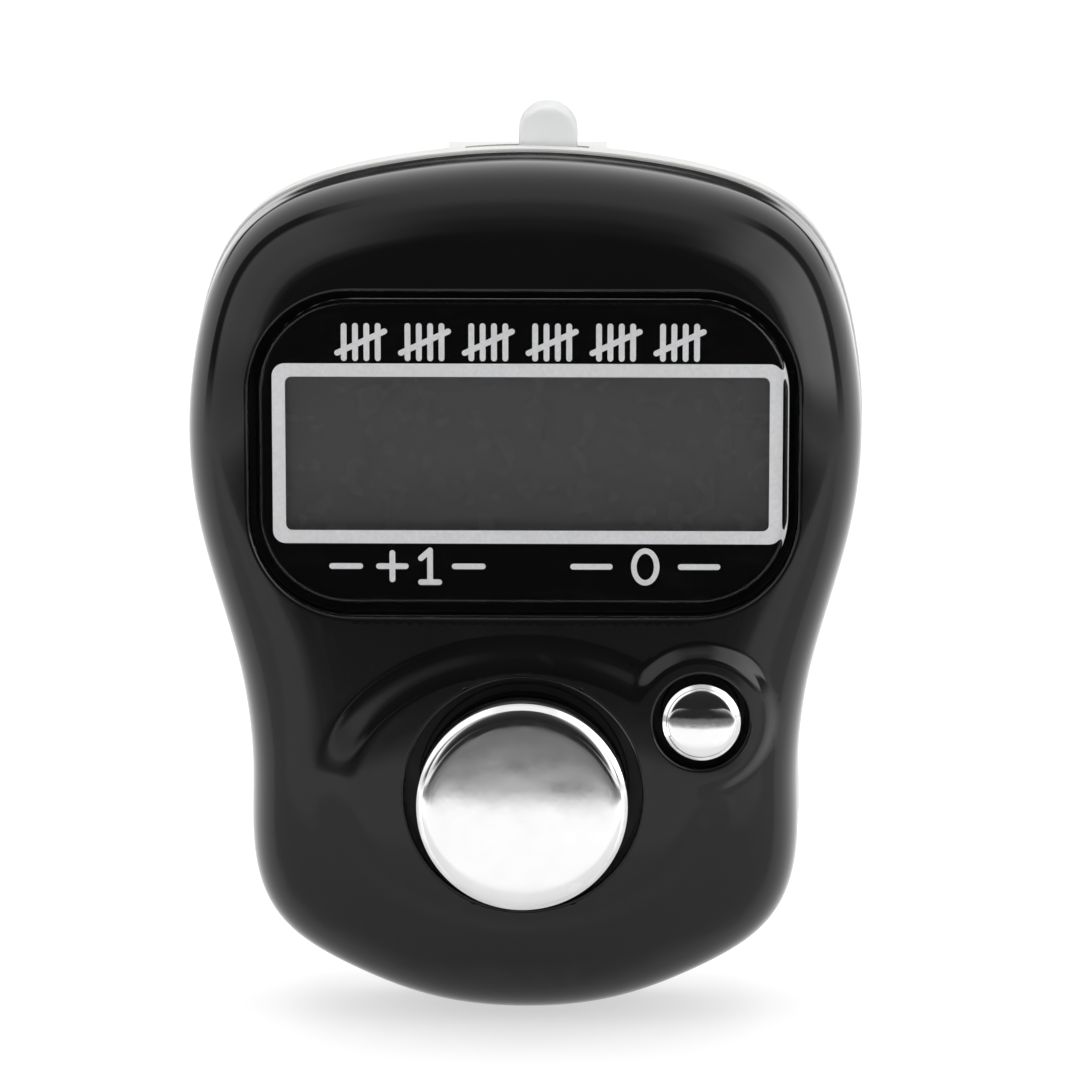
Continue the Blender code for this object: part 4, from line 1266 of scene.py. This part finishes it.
def build_buttons():
    for key, spot, radius, top_y, flange, crown, chamfer in (
        ("count", COUNT_XZ, COUNT_RADIUS, COUNT_TOP_Y, COUNT_FLANGE, 0.05, 0.3),
        ("reset", RESET_XZ, RESET_RADIUS, RESET_TOP_Y, RESET_FLANGE, 0.17, 0.2),
    ):
        cap = cap_mesh(f"{key}_cap", spot, radius, top_y, flange, crown, chamfer)
        add_piece(f"{key}_cap", cap, CHROME, f"{key}_key", (f"{key}_button",))
        # The carrier's dark colour is painted shade, so the gap round the chrome cap reads as shade.
        carrier = carrier_mesh(f"{key}_carrier", spot, radius, flange)
        add_piece(f"{key}_carrier", carrier, DARK_PLASTIC_AND_GAP_SHADE, f"{key}_key")
    for name, spot, top_y, radii, joint, keep in (
        ("count_spring", COUNT_XZ, COUNT_FLANGE[2] + 0.3, (2.3, 4.6), "count_press", 0.55),
        ("reset_spring", RESET_XZ, RESET_FLANGE[2] + 0.4, (1.35, 2.7), "reset_press", 0.7),
    ):
        node = name.replace("spring", "dome")
        item = add_piece(
            name, make_dome(name, spot, top_y, *radii), DOME_RUBBER, "case", (node,))
        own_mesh(item)


def build_display():
    add_piece("lens", make_lens(), CLEAR_LENS, "case", ("display_lens",))
    middle = LENS_Z + PRINT_DROP
    frame_outer = (23.62, 8.43, 0.6)
    frame_inner = (22.4, 7.19, 0.3)
    centre_x = 0.17

    def loop(size, grow=0.0):
        return rounded_loop(size, middle, grow, 10, (6, 4), centre_x)

    outline = rounded_loop(LENS_SIZE, LENS_Z, -0.1, 10, (6, 4))
    mask = ring_plate("lens_mask", outline, loop(frame_inner, 0.1), MASK_FRONT_Y, MASK_BACK_Y)
    add_piece("lens_mask", mask, BLACK_INK, "case")
    border = ring_plate(
        "printed_border", loop(frame_outer), loop(frame_inner), PRINT_FRONT_Y, PRINT_BACK_Y)
    add_piece("printed_border", border, SILVER_INK, "case")
    add_piece("printed_marks", make_marks(), SILVER_INK, "case")


def build_strap():
    band = add_piece("band", make_band(), SILICONE, "case", ("strap_band",))
    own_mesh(band)
    tail = add_piece("tail", make_tail(), SILICONE, "tail", ("strap_tail",))
    tail.visible_glossy = False


# ---- studio

TENT_RADIUS = 240.0
TENT_ENDS = (-540.0, 60.0)
LEFT_PANEL_POWER = 1.3
RIGHT_PANEL_POWER = 3.3
WANDER_SIZE = 1000 / 190
WORLD_POWER = 1.06
SOFTBOX_PLACE = Vector((0.0, -60.0, 520.0))
SOFTBOX_TARGET = Vector((0.0, -18.0, 0.0))
SOFTBOX_SIZE = 500.0
SOFTBOX_POWER = 1.2
FLOOR_REACH = 6000.0


def stage_mesh(name, points, faces, material):
    """A mesh of the studio, from points in millimetres."""
    mesh = bpy.data.meshes.new(name)
    mesh.from_pydata([Vector(point) * MM for point in points], [], faces)
    mesh.materials.append(material)
    item = placed(name, mesh)
    return item


def level_card(name, low, high, z, material):
    corners = [(low[0], low[1], z), (high[0], low[1], z), (high[0], high[1], z), (low[0], high[1], z)]
    return stage_mesh(name, corners, [(0, 1, 2, 3)], material)


def standing_card(name, azimuth, distance, half_width, low_z, high_z, material):
    """A card that faces the object, seen from it in the direction azimuth right of the front."""
    corners = [
        (-half_width, 0.0, low_z), (half_width, 0.0, low_z),
        (half_width, 0.0, high_z), (-half_width, 0.0, high_z),
    ]
    item = stage_mesh(name, corners, [(0, 1, 2, 3)], material)
    turn = radians(azimuth)
    centre = (distance * sin(turn), FACE_MIDDLE_Y - distance * cos(turn), 0.0)
    item.location = Vector(centre) * MM
    item.rotation_euler = (0.0, 0.0, turn)
    return item


def only_in_gloss(item):
    """A studio flag: it shows in shiny and clear surfaces and lights nothing else."""
    for ray in ("camera", "diffuse", "transmission", "shadow"):
        setattr(item, "visible_" + ray, False)


def floor_material():
    """A light table: pale, and glowing softly from below."""
    finish = Finish("pale_floor", (0.42, 0.42, 0.42), (0.44, 0.44, 0.44), 60.0)
    finish.relief([(finish.noise(1.0, 2.0), 0.01)])
    finish.shader.inputs["Emission Color"].default_value = (1.0, 1.0, 1.0, 1.0)
    return finish.done((0.6, 0.7), Emission_Strength=0.58)


class Glow(Material):
    """An even glow that fades out towards its edges, from ramps along its own axes."""

    def ramp(self, source, stops, wander=0.0):
        """A grey value from stops of (millimetres, value) along an axis."""
        low, high = stops[0][0], stops[-1][0]
        along = self.add("SeparateXYZ", {"Vector": self.place}, source)
        factor = self.spread(along, 0.0, 1.0, low * MM, high * MM)
        if wander:
            shift = self.spread(self.noise(WANDER_SIZE, 4.0), -wander, wander)
            factor = self.combine("ADD", factor, shift)
        node = self.nodes.new("ShaderNodeValToRGB")
        node.color_ramp.interpolation = "EASE"
        elements = node.color_ramp.elements
        while len(elements) < len(stops):
            elements.new(0.5)
        for element, (position, _) in zip(elements, stops):
            element.position = (position - low) / (high - low)
        for element, (_, value) in zip(elements, stops):
            element.color = (value, value, value, 1.0)
        self.links.new(factor, node.inputs["Fac"])
        return node.outputs["Color"]

    def combine(self, operation, first, second):
        return self.add("Math", {0: first, 1: second}, "Value", operation=operation)

    def plus(self, first, second):
        return self.combine("ADD", first, second)

    def times(self, first, second):
        return self.combine("MULTIPLY", first, second)

    def done(self, brightness, cover):
        glow = self.add("Emission", {"Color": brightness, "Strength": 1.0}, "Emission")
        clear = self.add("BsdfTransparent", {}, "BSDF")
        mixed = self.add("MixShader", {0: cover, 1: clear, 2: glow}, "Shader")
        output = self.nodes["Material Output"]
        self.links.new(mixed, output.inputs["Surface"])
        self.nodes.remove(self.nodes["Principled BSDF"])
        return self.material


def both_ways(stops):
    """The same stops mirrored to the other side of zero."""
    return tuple((-position, value) for position, value in reversed(stops)) + stops


def add_softbox():
    """A weak soft light from above and in front, which shiny surfaces don't show."""
    light = bpy.data.lights.new("softbox_top", "AREA")
    light.shape = "RECTANGLE"
    light.size = light.size_y = SOFTBOX_SIZE * MM
    light.energy = SOFTBOX_POWER
    item = placed("softbox_top", light)
    item.location = SOFTBOX_PLACE * MM
    item.rotation_euler = (SOFTBOX_TARGET - SOFTBOX_PLACE).to_track_quat("-Z", "Y").to_euler()
    item.visible_glossy = False


def build_studio():
    scene = bpy.context.scene
    scene.view_settings.view_transform = "Standard"
    scene.view_settings.look = "None"
    world = bpy.data.worlds.new("studio")
    scene.world = world
    world.use_nodes = True
    glow = world.node_tree.nodes["Background"]
    glow.inputs["Color"].default_value = (1.0, 1.0, 1.0, 1.0)
    glow.inputs["Strength"].default_value = WORLD_POWER

    floor_z = CAD_BOX[0][2] / MM - 0.02
    low, high = (-FLOOR_REACH, -FLOOR_REACH), (FLOOR_REACH, FLOOR_REACH)
    level_card("floor", low, high, floor_z, floor_material())
    add_flags(floor_z)
    add_tent(floor_z)
    add_softbox()


def add_flags(floor_z):
    """Dark and bright cards that show only in the shiny surfaces, as in a product photo."""
    front = Glow("front_flag")
    shade = front.ramp("Y", (
        (-700.0, 0.02), (-131.0, 0.02), (-122.0, 0.13), (-112.0, 0.18), (-97.0, 0.2),
        (-89.0, 0.3), (-80.0, 0.5), (-54.0, 0.35), (-21.0, 0.3),
    ), 0.01)
    depth = front.ramp("Y", (
        (-82.0, 1.0), (-73.0, 0.0), (-54.0, 0.0), (-44.0, 0.28), (-24.0, 0.34), (-20.8, 0.0),
    ), 0.02)
    cover = front.times(depth, front.ramp("X", both_ways(((40.0, 1.0), (234.0, 0.0)))))
    only_in_gloss(level_card(
        "front_flag", (-235.0, -700.0), (235.0, -20.8), floor_z + 0.3, front.done(shade, cover)))

    room = Glow("dark_room")
    shade = room.ramp("Z", ((-30.0, 0.02), (330.0, 0.04)))
    cover = room.ramp("Z", ((-40.0, 1.0), (330.0, 1.0)))
    material = room.done(shade, cover)
    only_in_gloss(standing_card("dark_room", 0.0, 590.0, 330.0, floor_z, 330.0, material))

    gap = Glow("dark_gap")
    shade = gap.ramp("Z", ((60.0, 0.05), (330.0, 0.05)))
    cover = gap.times(
        gap.ramp("Z", ((100.0, 0.0), (140.0, 1.0), (185.0, 1.0), (235.0, 0.0))),
        gap.ramp("X", both_ways(((400.0, 1.0), (700.0, 0.0)))),
    )
    material = gap.done(shade, cover)
    only_in_gloss(standing_card("dark_gap", 180.0, 820.0, 700.0, 60.0, 330.0, material))


def tent_material(floor_z):
    """A dim roof and a bright panel on each side.

    Each panel ends behind the object in a narrow dark edge, which shows as the thin dark
    line inside the case's outline.
    """
    tent = Glow("light_tent")
    right = tent.ramp("X", ((60.0, 0.0), (150.0, 1.0)))
    left = tent.ramp("X", ((-120.0, 1.0), (-30.0, 0.0)))
    sides = tent.plus(left, right)
    roof = tent.combine("SUBTRACT", 1.0, sides)
    right_level = tent.times(
        tent.ramp("X", ((60.0, 0.0), (150.0, 0.6), (240.0, 1.0))),
        tent.ramp("Z", ((floor_z, 0.12), (-14.0, 0.16), (18.0, 1.0))),
    )
    left_level = tent.times(left, tent.ramp("Z", ((floor_z, 0.6), (-5.0, 0.65), (60.0, 1.0))))
    level = tent.plus(
        tent.times(left_level, LEFT_PANEL_POWER), tent.times(right_level, RIGHT_PANEL_POWER))
    panel = tent.ramp("Y", (
        (-392.0, 0.04), (-345.0, 0.2), (-285.0, 0.8), (-200.0, 1.0), (-30.0, 1.0), (-6.0, 0.08),
        (32.0, 0.08), (60.0, 0.3),
    ))
    ceiling = tent.ramp("Y", (
        (-540.0, 0.03), (-392.0, 0.05), (-262.0, 0.2), (-160.0, 0.5), (-73.0, 0.8),
    ))
    bright = tent.plus(tent.times(panel, level), tent.times(ceiling, roof))
    over = tent.ramp("Y", ((-120.0, 1.0), (-60.0, 0.0)))
    beside = tent.times(
        tent.ramp("Y", ((42.0, 1.0), (50.0, 0.0))),
        tent.ramp("Z", ((floor_z, 0.0), (-16.0, 0.15), (24.0, 1.0))),
    )
    return tent.done(bright, tent.plus(tent.times(over, roof), tent.times(beside, sides)))


def add_tent(floor_z):
    """A half tunnel of soft light around the object."""
    angles = [radians(-6.0 + 4.0 * step) for step in range(49)]
    arc = [(TENT_RADIUS * cos(a), TENT_RADIUS * sin(a)) for a in angles]
    points = [(x, y, max(z, floor_z)) for y in TENT_ENDS for x, z in arc]
    count = len(arc)
    faces = [(i, i + 1, count + i + 1, count + i) for i in range(count - 1)]
    only_in_gloss(stage_mesh("light_tent", points, faces, tent_material(floor_z)))


dress_cad_nodes()
build_case()
build_buttons()
build_display()
build_strap()
build_studio()
